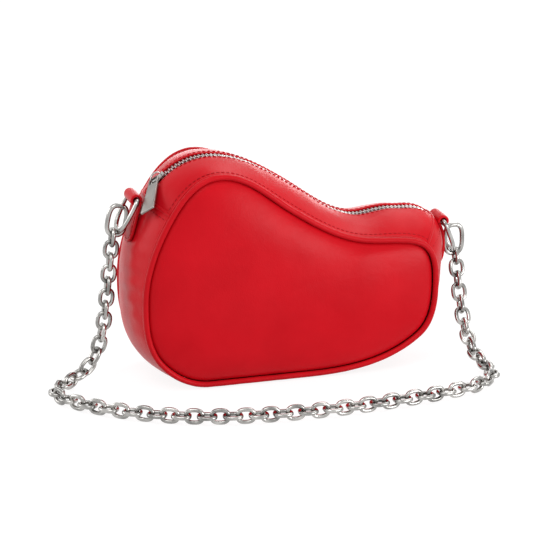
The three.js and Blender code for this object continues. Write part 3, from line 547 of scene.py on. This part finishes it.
# Panels: rings of the outline drawn in, raised like a stretched cushion
def cushion_heights(points, faces, rim):
    """Heights of a film held at the rim's points and blown up, one value for each point, at most 1."""
    n = len(points)
    i = np.array(faces)
    edges, values = [], []
    for a, b, c in ((0, 1, 2), (1, 2, 0), (2, 0, 1)):
        u, v = points[i[:, a]] - points[i[:, c]], points[i[:, b]] - points[i[:, c]]
        cotangent = (u * v).sum(axis=1) / np.maximum(np.abs(u[:, 0] * v[:, 1] - u[:, 1] * v[:, 0]), 1e-6)
        edges.append(i[:, [a, b]])
        values.append(np.maximum(cotangent, 0.01) / 2)
    edges, values = np.concatenate(edges), np.concatenate(values)
    u, v = points[i[:, 1]] - points[i[:, 0]], points[i[:, 2]] - points[i[:, 0]]
    area = np.abs(u[:, 0] * v[:, 1] - u[:, 1] * v[:, 0]) / 6
    load = sum(np.bincount(i[:, k], area, n) for k in range(3))
    free = np.where(rim, 0.0, 1.0)

    def pull(h):
        flow = values * (h[edges[:, 0]] - h[edges[:, 1]])
        return free * (np.bincount(edges[:, 0], flow, n) - np.bincount(edges[:, 1], flow, n))

    height = np.zeros(n)
    rest = load * free
    way = rest.copy()
    size = rest @ rest
    for _ in range(600):
        pulled = pull(way)
        step = size / max(way @ pulled, 1e-12)
        height += step * way
        rest -= step * pulled
        fresh = rest @ rest
        if fresh < 1e-10 * (load @ load):
            break
        way = rest + way * fresh / size
        size = fresh
    return height / height.max()


PANEL_INSET, PANEL_SINK, PANEL_LEATHER = 1.9, 2.8, 1.2
PANEL_EDGE = PANEL_SPACING / 2 - PANEL_SINK
PUFF_HEIGHT, PUFF_POWER = PANEL_PUFF + 2.1, 0.46
shares = 1 - np.linspace(0, 1, 34)[:-1] ** 1.5
edge_x, edge_z = RING[:, 0] - RING[:, 2] * PANEL_INSET, RING[:, 1] - RING[:, 3] * PANEL_INSET
edge = np.stack([edge_x, np.zeros(len(RING)), edge_z], axis=1)
edge = np.concatenate([edge, edge[:1]])
middle = np.array([PANEL_MIDDLE[0], 0, PANEL_MIDDLE[1]])
film = wrapped([middle + (edge - middle) * share for share in np.append(shares, 0)])
bmesh.ops.triangulate(film, faces=film.faces)
film.verts.index_update()
flat = np.array([vert.co for vert in film.verts])
corners = [[vert.index for vert in face.verts] for face in film.faces]
puff = cushion_heights(flat[:, [0, 2]], corners, [vert.is_boundary for vert in film.verts]) ** PUFF_POWER
for word, side in (("front", -1), ("back", 1)):
    base = flat + [0, side * PANEL_EDGE, 0]
    uneven = wobble(base, 0.022, 0.75) + wobble(base + 500, 0.075, 0.16)
    base[:, 1] += side * (puff * PUFF_HEIGHT + uneven * np.minimum(1, puff * 1.6))
    cushion = film.copy()
    for vert, place in zip(cushion.verts, base):
        vert.co = place
    cushion.normal_update()
    if sum(face.normal.y for face in cushion.faces) * side < 0:
        bmesh.ops.reverse_faces(cushion, faces=cushion.faces)
    panel = piece(f"{word}_panel_leather", [cushion], RED_LEATHER, nodes=[f"{word}_panel"])
    shell = panel.modifiers.new("thickness", "SOLIDIFY")
    shell.thickness = PANEL_LEATHER * MM
    shell.offset = -1
    seam = np.stack([RING[:, 0], np.full(len(RING), side * PANEL_SPACING / 2), RING[:, 1]], axis=1)
    tight = 1 + wobble(seam, 0.16, 0.05)
    cord = sweep(seam, ellipse(PIPING_RADIUS, PIPING_RADIUS, 14), (0, 1, 0), True, tight)
    piece(f"{word}_piping_leather", [cord], RED_EDGE, nodes=[f"{word}_piping"])

# Turned edge of the gussets, a thin ridge beside the piping
TURNED_INSET, TURNED_DEPTH = 0.9, 0.25
for word, side in (("front", -1), ("back", 1)):
    ridge = skin(RING, side * (GUSSET_HALF - TURNED_INSET), TURNED_DEPTH)
    rolled = sweep(ridge, ellipse(0.85, 0.75, 8), outward(RING), True)
    piece(f"{word}_turned_edge", [rolled], RED_EDGE)

# Stitching beside the piping, along the zip's mouth and at the two seams
STITCH_PITCH, STITCH_LIFT = 3.5, 0.05
PIPING_TO_STITCHES, MOUTH_TO_STITCHES = 2.9, 2.0
SEAM_TO_STITCHES = 2


def sewn(line, normals, skip=0):
    """Stitches along a line of points, with a length left bare at each end."""
    length = np.concatenate([[0], np.cumsum(np.linalg.norm(np.diff(line, axis=0), axis=1))])
    spots = np.arange(STITCH_PITCH / 2 + skip, length[-1] - skip, STITCH_PITCH)

    def pick(rows):
        return np.stack([np.interp(spots, length, rows[:, k]) for k in range(3)], axis=1)

    return stitches(pick(line), unit(pick(tangents(line, False))), unit(pick(normals)))


def row_across(mark):
    """Stitches across the gusset at one row of the outline."""
    run = np.repeat(RING[mark][None], 60, axis=0)
    ys = np.linspace(-GUSSET_HALF + 2, GUSSET_HALF - 2, 60)
    line = np.concatenate([skin(run[:1], y, -STITCH_LIFT) for y in ys])
    return sewn(line, outward(run))


sewing = []
for side in (-1, 1):
    beside_piping, beside_mouth = GUSSET_HALF - PIPING_TO_STITCHES, ZIP_MOUTH / 2 + MOUTH_TO_STITCHES
    sewing += sewn(skin(TOP_RUN, side * beside_piping, -STITCH_LIFT), outward(TOP_RUN))
    sewing += sewn(skin(TOP_RUN, side * beside_mouth, -STITCH_LIFT), outward(TOP_RUN), 2)
sewing += row_across(MARKS[LEFT_SEAM] + SEAM_TO_STITCHES)
sewing += row_across(MARKS[RIGHT_SEAM] - SEAM_TO_STITCHES)
piece("gusset_stitching", sewing, RED_THREAD_SHADED)

# Folded edge that stands up along each seam
FOLD_INSET, FOLD_DEPTH = 0.4, 0.15
for word, mark in (("left", MARKS[LEFT_SEAM]), ("right", MARKS[RIGHT_SEAM])):
    station = RING[mark][None]
    ys = np.linspace(-GUSSET_HALF + FOLD_INSET, GUSSET_HALF - FOLD_INSET, 48)
    line = np.concatenate([skin(station, y, FOLD_DEPTH) for y in ys])
    rolled = ellipse(1.25, 0.95, 10, 2.4)
    piece(f"seam_fold_{word}", [sweep(line, rolled, outward(station)[0])], RED_LEATHER)

# Zip
TAPE_DEPTH = LEATHER + GAP
ZIP_RUN = TOP_RUN[::-1]
ZIP_LINE = skin(ZIP_RUN, 0.0, TAPE_DEPTH)


def zip_frame(distance):
    """Columns along, across and up at a length along the zip, and the place."""
    (behind, place, ahead), _ = walk(ZIP_LINE, [distance - 1, distance, distance + 1])
    along = unit(ahead - behind)
    up = np.array([-along[2], 0, along[0]])
    return np.stack([along, np.array([0, 1.0, 0]), up], axis=1), place


for word, side in (("front", -1), ("back", 1)):
    inner = TAPE_PARTING / 2
    loop = [(inner, 0), (inner + 0.8, -0.12), (inner + 1.6, 0)]
    loop += [(y, 0) for y in np.linspace(inner + 2.4, inner + TAPE_WIDTH, 5)]
    loop += [(inner + TAPE_WIDTH, TAPE_THICKNESS), (inner, TAPE_THICKNESS)]
    columns = [skin(ZIP_RUN, side * y, TAPE_DEPTH + depth) for y, depth in loop]
    piece(f"zip_tape_{word}_cloth", [loft(np.stack(columns, axis=1))], RED_TAPE, nodes=[f"zip_tape_{word}"])

    root, tip_y = inner + TOOTH_ROOT, -TOOTH_REACH * 0.7
    head = [(0.46, root), (0.42, inner), (0.36, 0.7), (0.52, 0.35), (0.5, tip_y + 0.15), (0.25, tip_y)]
    plan = head + [(-x, y) for x, y in head[::-1]]
    tooth = template(plate([(x, side * y) for x, y in plan], -TOOTH_FOOT, TOOTH_RISE, 0.16))
    lead = 0 if side < 0 else TOOTH_PITCH / 2
    frames = [zip_frame(SLIDER_FROM_SEAM + TOOTH_PITCH * (k + 1) + lead) for k in range(TOOTH_COUNT)]
    piece(f"zip_teeth_{word}", [copies(tooth, *zip(*frames))], TOOTH_METAL)

# Zip slider, bridge and pull
SLIDER_AXES, SLIDER_PLACE = zip_frame(SLIDER_FROM_SEAM)
PLATE_TOP = TOOTH_RISE + SLIDER_CLEARANCE + SLIDER_PLATE
PLATE_LOW = -TAPE_THICKNESS - SLIDER_CLEARANCE
half, wide, tail = SLIDER_LENGTH / 2, SLIDER_WIDTH / 2, SLIDER_TAIL / 2
flank = [(half, tail * 0.7), (half * 0.94, tail), (half * 0.5, tail), (half * 0.1, tail * 1.12)]
flank += [(-half * 0.3, wide * 0.97), (-half * 0.6, wide), (-half * 0.88, wide * 0.86), (-half, wide * 0.5)]
SHIELD = flank + [(x, -y) for x, y in flank[::-1]]


def on_slider(shape):
    """Moves a shape from the slider's own axes to its place on the zip."""
    turn = Matrix(SLIDER_AXES.tolist()).to_4x4()
    bmesh.ops.transform(shape, matrix=Matrix.Translation(Vector(SLIDER_PLACE)) @ turn, verts=shape.verts)
    return shape


top_plate = plate(SHIELD, PLATE_TOP - SLIDER_PLATE, PLATE_TOP, 0.35)
low_plate = plate(SHIELD, PLATE_LOW - SLIDER_PLATE, PLATE_LOW, 0.3)
post = ellipse(SLIDER_LENGTH * 0.12, TAPE_PARTING / 2 - GAP, 12, 3) - [SLIDER_LENGTH * 0.32, 0]
post = plate(post, PLATE_LOW - 0.3, PLATE_TOP - 0.5, 0.1)
piece("slider_body", [on_slider(part) for part in (top_plate, low_plate, post)], RING_METAL, "slider",
      ["zip_slider"])

angle = np.linspace(0, math.pi, 25)
span = -np.cos(angle) * (BRIDGE_SPAN - BRIDGE_THICKNESS) / 2
rise = np.sin(angle) ** 0.7 * (BRIDGE_HEIGHT - BRIDGE_THICKNESS / 2)
arch = np.stack([span, 0 * angle, PLATE_TOP + GAP / 2 + rise], axis=1)
bridge_section = ellipse(BRIDGE_WIDTH / 2 + 0.3, BRIDGE_THICKNESS / 2 + 0.05, 12, 3)
piece("slider_bridge", [on_slider(sweep(arch, bridge_section, (0, 0, 1)))], RING_METAL, "slider",
      ["zip_slider_bridge"])


def holed_plate(outer, hole, thickness, corner, bevel):
    """A flat plate with one hole, its corners rounded and its faces' edges bevelled."""
    shape = bmesh.new()
    rims = []
    for loop in (outer, hole):
        verts = [shape.verts.new((x, y, -thickness / 2)) for x, y in loop]
        rims += [shape.edges.new(pair) for pair in zip(verts, verts[1:] + verts[:1])]
    bmesh.ops.bridge_loops(shape, edges=rims)
    raise_plate(shape, thickness)
    round_edges(shape, corner, 5, True)
    round_edges(shape, bevel, 2, False)
    return shape


bar_offset = PULL_CHEEK / 2 / math.cos(PULL_YAW) + BRIDGE_WIDTH / 2 * math.tan(PULL_YAW) + PULL_PLAY
pull_height = PLATE_TOP + GAP + PULL_LIFT + PULL_THICKNESS / 2
pull_pivot = np.array([-BRIDGE_SPAN / 2 + BRIDGE_THICKNESS + bar_offset, 0, pull_height])
front, top, half = PULL_CHEEK / 2, PULL_TOP / 2, PULL_WIDTH / 2
pull_outer = [(front, top), (-PULL_LENGTH, half), (-PULL_LENGTH, -half), (front, -top)]
back, eye = -PULL_CHEEK / 2 - PULL_EYE, PULL_TOP / 2 - PULL_CHEEK
pull_hole = [(-front, eye), (back, eye), (back, -eye), (-front, -eye)]
bar = holed_plate(pull_outer, pull_hole, PULL_THICKNESS, 0.7, 0.24)
turn = Matrix.Rotation(PULL_YAW, 4, "Z") @ Matrix.Rotation(-PULL_DROOP, 4, "Y")
bmesh.ops.transform(bar, matrix=Matrix.Translation(Vector(pull_pivot)) @ turn, verts=bar.verts)
piece("pull_bar", [on_slider(bar)], PULL_METAL, "pull", ["zip_pull"])


# Tabs and rings
TAB_SLACK, LOOP_START, LOOP_END = 0.6, 0.12, math.radians(292)
TAB_SEAM_INSET, TAB_SEAM_TOP, TAB_SEAM_BEND = 2.0, 11.0, 14.5
TAB_STITCH_PITCH = 3.1


def seat_below_seam(side, below):
    """A place on the gusset's middle line, a length below the seam, with its down and outward ways."""
    line = skin(LOW_RUN, 0.0, 0.0)[::-side]
    (behind, at, ahead), _ = walk(line, [below - 2, below, below + 2])
    down = unit(ahead - behind)
    return at, down, np.array([-down[2] * side, 0, down[0] * side])


def tab(word, side, pivot, below, seat_share, hug):
    """A strap sewn down at its seat and folded into a loop round the D-ring's bar."""
    at, down, out = seat_below_seam(side, below)
    leg_top = -TAB_LEG * seat_share
    steps = 24
    leg, outs = [], []
    for reach in np.linspace(leg_top + TAB_LEG, leg_top, steps):
        close_at, _, close_out = seat_below_seam(side, below + reach)
        way = unit(out + (close_out - out) * hug)
        leg.append((at + down * reach) * (1 - hug) + close_at * hug + way * (GAP + TAB_LEATHER / 2))
        outs.append(way)
    middle = D_RING_WIRE + TAB_SLACK + TAB_LEATHER / 2
    leg = np.array(leg) + pivot - (leg[-1] + outs[-1] * middle)
    over = np.array([outs[-1][2] * side, 0, -outs[-1][0] * side])
    loop = np.array([pivot - outs[-1] * middle * math.cos(t) - over * middle * math.sin(t)
                     for t in np.linspace(LOOP_START, LOOP_END, 26)])
    strap = np.concatenate([leg, loop])
    round_end = np.clip(np.linspace(0, TAB_LEG, steps) / (TAB_WIDTH / 2), 0, 1)
    width = np.ones(len(strap))
    width[:steps] = np.sqrt(np.maximum(0.02, 1 - (1 - round_end) ** 2))
    normals = np.concatenate([outs, unit(loop - pivot)])
    along = tangents(strap, False)
    lift = unit(normals - (normals * along).sum(axis=1, keepdims=True) * along)
    across = np.cross(along, lift)
    section = ellipse(TAB_WIDTH / 2, TAB_LEATHER / 2, 32, 7)
    wide, thick = section[None, :, :1] * width[:, None, None], section[None, :, 1:]
    loops = strap[:, None] + across[:, None] * wide + lift[:, None] * thick
    piece(f"tab_{word}_leather", [loft(loops)], RED_LEATHER, nodes=[f"tab_{word}"])

    edge, low = TAB_WIDTH / 2 - TAB_SEAM_INSET, TAB_LEG - TAB_SEAM_INSET
    turns = np.linspace(-1.5, 1.5, 9)
    rim = [(edge * math.sin(a), low + edge * 0.9 * (math.cos(a) - 1)) for a in turns]
    rim = [(-edge, TAB_SEAM_TOP), (-edge, TAB_SEAM_BEND)] + rim
    rim = np.array(rim + [(edge, TAB_SEAM_BEND), (edge, TAB_SEAM_TOP)])
    downs = np.linspace(TAB_LEG, 0, steps)[::-1]

    def at_depth(rows):
        return np.stack([np.interp(rim[:, 1], downs, rows[::-1, k]) for k in range(3)], axis=1)

    faces_out = at_depth(np.array(outs))
    seam = at_depth(leg) + faces_out * (TAB_LEATHER / 2 + 0.03) + np.outer(rim[:, 0], (0, 1, 0))
    spots = np.arange(1.4, walk(seam, [0])[1], TAB_STITCH_PITCH)
    ways = unit(walk(seam, spots + 0.4)[0] - walk(seam, spots - 0.4)[0])
    facing = np.repeat(unit(faces_out[5])[None], len(spots), axis=0)
    rows = stitches(walk(seam, spots)[0], ways, facing, length=2.3, radius=0.3)
    piece(f"tab_{word}_stitching", rows, RED_THREAD_SHADED)


def rings(word, side, pivot, tilt, ring_tip, chain_pitch):
    """The D-ring and strap ring at one end, and the place where the chain starts."""
    half, low, bar = D_RING_WIDTH / 2 - D_RING_WIRE, -D_RING_DROP, TAB_WIDTH / 2 + GAP
    near = [(bar / 2, 0), (bar, 0), (half, bar - half), (half, low * 0.4), (half * 0.87, low * 0.72)]
    near.append((half * 0.5, low * 0.94))
    flat_ring = near + [(0, low)] + [(-y, z) for y, z in near[::-1]]
    lean = side * tilt
    path = catmull([(0, y, z) for y, z in flat_ring], True, 10)
    path = np.stack([-path[:, 2] * math.sin(lean), path[:, 1], path[:, 2] * math.cos(lean)], axis=1) + pivot
    wire = sweep(path, ellipse(D_RING_WIRE, D_RING_WIRE, 16), (math.cos(lean), 0, math.sin(lean)), True)
    piece(f"d_ring_{word}_wire", [wire], RING_METAL, f"{word}_d_ring", [f"d_ring_{word}"])
    bow = pivot + np.array([D_RING_DROP * math.sin(lean), 0, -D_RING_DROP * math.cos(lean)])

    half_wide, half_high = STRAP_RING_WIDTH / 2 - STRAP_RING_WIRE, STRAP_RING_HEIGHT / 2 - STRAP_RING_WIRE
    away = np.array([side * math.cos(ring_tip), 0, math.sin(ring_tip)])
    rise = np.array([-side * math.sin(ring_tip), 0, math.cos(ring_tip)])
    beside = (D_RING_WIRE + LINK_WIRE + GAP) / 2
    foot = bow + away * beside - rise * (D_RING_WIRE + STRAP_RING_WIRE + GAP)
    plane = ellipse(half_wide, half_high, 72, STRAP_RING_SQUARENESS) + [0, half_high]
    ring = foot + np.outer(plane[:, 0], away * side) + np.outer(plane[:, 1], rise)
    wire = sweep(ring, ellipse(STRAP_RING_WIRE, STRAP_RING_WIRE, 14), (0, 1, 0), True)
    piece(f"strap_ring_{word}_wire", [wire], RING_METAL, f"{word}_strap_ring", [f"strap_ring_{word}"])
    seat = STRAP_RING_WIRE + LINK_WIRE + 2 * GAP
    backward = np.array([0, seat * math.sin(chain_pitch), 0])
    return foot + away * beside + rise * seat * math.cos(chain_pitch) + backward


tab("left", -1, LEFT_PIVOT, below=30.0, seat_share=0.9, hug=0.0)
tab("right", 1, RIGHT_PIVOT, below=28.2, seat_share=0.7, hug=1.0)
left_end = rings("left", -1, LEFT_PIVOT, math.radians(27), ring_tip=math.radians(12), chain_pitch=0.0)
right_end = rings("right", 1, RIGHT_PIVOT, math.radians(22), ring_tip=0.0, chain_pitch=math.radians(20))

# Chain: shares of the width between the rings, of the reach to the front, and of the end's height
ON_GROUND = LINK_WIDTH / 2 + GAP
LEFT_DROP = [(-0.011, 0, 0.77), (-0.022, 0, 0.545), (-0.035, 0, 0.337), (-0.056, 0.005, 0.185),
             (-0.088, 0.024, 0.1)]
LYING = [(-0.138, 0.085), (-0.18, 0.18), (-0.196, 0.31), (-0.166, 0.44), (-0.122, 0.56), (-0.02, 0.75),
         (0.111, 0.9), (0.251, 0.982), (0.395, 1.015), (0.542, 1.015), (0.685, 0.985), (0.819, 0.935),
         (0.925, 0.87), (0.99, 0.74)]
RIGHT_CLIMB = [(1.003, 0.57, 0.085), (0.998, 0.39, 0.13), (0.996, 0.25, 0.26), (0.997, 0.15, 0.44),
               (0.998, 0.075, 0.66)]


def route_point(across, forward, height):
    """A point of the chain's route from its shares, never under the ground."""
    x = left_end[0] + across * (right_end[0] - left_end[0])
    return (x, -forward * (PANEL_SPACING / 2 + CHAIN_REACH), max(ON_GROUND, height))


route = [left_end] + [route_point(a, f, h * left_end[2]) for a, f, h in LEFT_DROP]
route += [route_point(a, f, ON_GROUND) for a, f in LYING]
route += [route_point(a, f, h * right_end[2]) for a, f, h in RIGHT_CLIMB] + [right_end]
CHAIN_LINE = catmull(route, False, 60)
CHAIN_LENGTH = walk(CHAIN_LINE, [0])[1]

run_count = math.ceil(LINK_COUNT / LINKS_PER_RUN)
first_centre = LINK_LENGTH / 2 - LINK_WIRE
run_gap = LINK_LENGTH - 4 * LINK_WIRE - RUN_GAP
link_pitch = (CHAIN_LENGTH - 2 * first_centre - (run_count - 1) * run_gap) / (LINK_COUNT - run_count)
centres = []
for k in range(LINK_COUNT):
    run_index = k // LINKS_PER_RUN
    centres.append(first_centre + (k - run_index) * link_pitch + run_index * run_gap)

ROUND_WIRE = 1.4
half_long, half_wide = LINK_LENGTH / 2 - 2 * LINK_WIRE + ROUND_WIRE, LINK_WIDTH / 2 - LINK_WIRE
link_loop = ellipse(half_long, half_wide, 28, LINK_SQUARENESS)
link_path = np.column_stack([link_loop, np.zeros(len(link_loop))])
link_section = ellipse(ROUND_WIRE, ROUND_WIRE, 12, 2.3)
LINK = template(sweep(link_path, link_section, (0, 0, 1), True))


def link_at(k):
    """Columns along, across and out of one link, and its place."""
    (behind, place, ahead), _ = walk(CHAIN_LINE, [centres[k] - 0.5, centres[k], centres[k] + 0.5])
    along = unit(ahead - behind)
    level = unit(np.array([along[1], -along[0], 0]))
    wide = level if k % 2 == 0 else np.cross(level, along)
    return np.stack([along, wide, np.cross(along, wide)], axis=1), place


def chain_part(name, first, last, runs, body=None):
    """Links from first up to last as one piece, with their path and its length in metres."""
    links = copies(LINK, *zip(*[link_at(k) for k in range(first, last)]))
    nodes = [f"chain_run_{run:02d}" for run in runs]
    obj = piece(name, [links], CHAIN_METAL, body, nodes)
    start, end = centres[first] - first_centre, centres[last - 1] + first_centre
    path, _ = walk(CHAIN_LINE, np.linspace(start, end, 160))
    return obj, path * MM, (end - start) * MM


# The links at each end, beside their strap ring, as pieces of their own
END_LINKS, FRONT_FIRST, FRONT_LAST = 4, 3 * LINKS_PER_RUN, 7 * LINKS_PER_RUN
RIGHT_LAST = LINK_COUNT - END_LINKS
chain_left, left_path, left_length = chain_part("chain_left", END_LINKS, FRONT_FIRST, (1, 2, 3))
chain_front, front_path, front_length = chain_part("chain_front", FRONT_FIRST, FRONT_LAST, (4, 5, 6, 7),
                                                   "bag")
chain_right, right_path, right_length = chain_part("chain_right", FRONT_LAST, RIGHT_LAST, (8, 9, 10))
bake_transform(chain_left)
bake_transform(chain_right)
for word, first in (("left", 0), ("right", RIGHT_LAST)):
    links, path, _ = chain_part(f"chain_{word}_end", first, first + END_LINKS, ())
    path = path[::-1] if word == "left" else path
    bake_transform(links)

# Finishes of the solids that stay
for names, material in ((("lining_gusset", "lining_front", "lining_back"), LINING),
                        (("base_board", "front_foam_board", "back_foam_board"), BOARD),
                        (("zip_stop_left", "zip_stop_right"), TOOTH_METAL)):
    for name in names:
        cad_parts[name].data.materials.clear()
        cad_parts[name].data.materials.append(material)

# Camera, from the photograph's viewing angle
AZIMUTH, ELEVATION, DISTANCE = math.radians(-17), math.radians(18), 2300.0
LENS, SENSOR = 218.3, 36.0
AIM, AIM_SHIFT = (5.40, 0, 56.67), 6.9
level = math.cos(ELEVATION)
right_way = np.array([math.cos(AZIMUTH), math.sin(AZIMUTH), 0])
back_way = np.array([math.sin(AZIMUTH) * level, -math.cos(AZIMUTH) * level, math.sin(ELEVATION)])
up_way = np.cross(back_way, right_way)
aim = np.array(AIM) - AIM_SHIFT * right_way + AIM_SHIFT * up_way
turn = Matrix(np.stack([right_way, up_way, back_way], axis=1).tolist()).to_4x4()
camera = bpy.data.objects.new("camera", bpy.data.cameras.new("camera"))
camera.data.lens = LENS
camera.data.sensor_width = SENSOR
camera.data.clip_end = 50.0
camera.matrix_world = Matrix.Translation(Vector((aim + back_way * DISTANCE) * MM)) @ turn
bpy.context.scene.collection.objects.link(camera)
bpy.context.scene.camera = camera

# Stage: a pale floor and surround, plain white to the camera but for the object's shadow
AMBIENT_LEVEL = 0.42
FLOOR_SIZE, FLOOR_DROP = 6.0, 0.0002
FLOOR_GLOW, FLOOR_SHADE, FLOOR_GREY = 0.88, 0.22, 0.55


def as_background(tree, shader, rest):
    """A shader for rays from the camera, off a mirror or through glass, and another for the rest."""
    path = add_node(tree, "ShaderNodeLightPath")
    chosen = path.outputs["Is Camera Ray"]
    for ray in ("Is Glossy Ray", "Is Transmission Ray"):
        either = add_node(tree, "ShaderNodeMath", {"operation": "MAXIMUM"})
        tree.links.new(chosen, either.inputs[0])
        tree.links.new(path.outputs[ray], either.inputs[1])
        chosen = either.outputs["Value"]
    mix = add_node(tree, "ShaderNodeMixShader")
    tree.links.new(chosen, mix.inputs["Fac"])
    tree.links.new(rest, mix.inputs[1])
    tree.links.new(shader, mix.inputs[2])
    return mix.outputs["Shader"]


floor_shape = bmesh.new()
bmesh.ops.create_grid(floor_shape, x_segments=1, y_segments=1, size=FLOOR_SIZE)
bmesh.ops.translate(floor_shape, vec=(0, 0, -FLOOR_DROP), verts=floor_shape.verts)
floor_mesh = bpy.data.meshes.new("floor")
floor_shape.to_mesh(floor_mesh)
floor_shape.free()
floor = bpy.data.objects.new("floor", floor_mesh)
bpy.context.scene.collection.objects.link(floor)
floor_material, tree, shader = new_material("floor_white")
shader.inputs["Base Color"].default_value = (FLOOR_GREY, FLOOR_GREY, FLOOR_GREY, 1)
shader.inputs["Roughness"].default_value = 0.9
glow = add_node(tree, "ShaderNodeEmission", Color=(1, 1, 1, 1), Strength=FLOOR_GLOW)
shade = add_node(tree, "ShaderNodeBsdfDiffuse", Color=(FLOOR_SHADE, FLOOR_SHADE, FLOOR_SHADE, 1))
lit = add_node(tree, "ShaderNodeAddShader")
tree.links.new(glow.outputs["Emission"], lit.inputs[0])
tree.links.new(shade.outputs["BSDF"], lit.inputs[1])
white = as_background(tree, lit.outputs["Shader"], shader.outputs["BSDF"])
tree.links.new(white, tree.nodes["Material Output"].inputs["Surface"])
floor_mesh.materials.append(floor_material)

world = bpy.data.worlds.new("studio")
bpy.context.scene.world = world
world.use_nodes = True
sky = world.node_tree
soft = add_node(sky, "ShaderNodeBackground", Color=(1, 1, 1, 1), Strength=AMBIENT_LEVEL)
white = add_node(sky, "ShaderNodeBackground", Color=(1, 1, 1, 1), Strength=1.0)
around = as_background(sky, white.outputs["Background"], soft.outputs["Background"])
sky.links.new(around, sky.nodes["World Output"].inputs["Surface"])


def softbox(name, place, target, width, height, power):
    """A rectangular lamp that faces its target, in metres and watts."""
    light = bpy.data.lights.new(name, "AREA")
    light.shape = "RECTANGLE"
    light.size, light.size_y, light.energy = width, height, power
    obj = bpy.data.objects.new(name, light)
    obj.location = place
    obj.rotation_euler = (Vector(target) - Vector(place)).to_track_quat("-Z", "Y").to_euler()
    bpy.context.scene.collection.objects.link(obj)


softbox("key_light", (-0.55, -0.75, 1.25), (0, 0, 0.06), width=0.9, height=0.7, power=6.8)
softbox("fill_light", (1.05, -1.33, 0.24), (0, 0, 0.06), width=1.0, height=0.42, power=14.0)
softbox("top_light", (0.62, 0.38, 1.08), (0, 0, 0.08), width=1.2, height=0.7, power=6.0)
softbox("left_light", (-1.15, 0.45, 0.45), (0, 0, 0.06), width=0.8, height=0.6, power=4.5)
softbox("rim_light", (0.6, 1.35, 0.2), (0, 0, 0.08), width=1.2, height=0.36, power=4.0)

bpy.context.scene.view_settings.view_transform = "Standard"
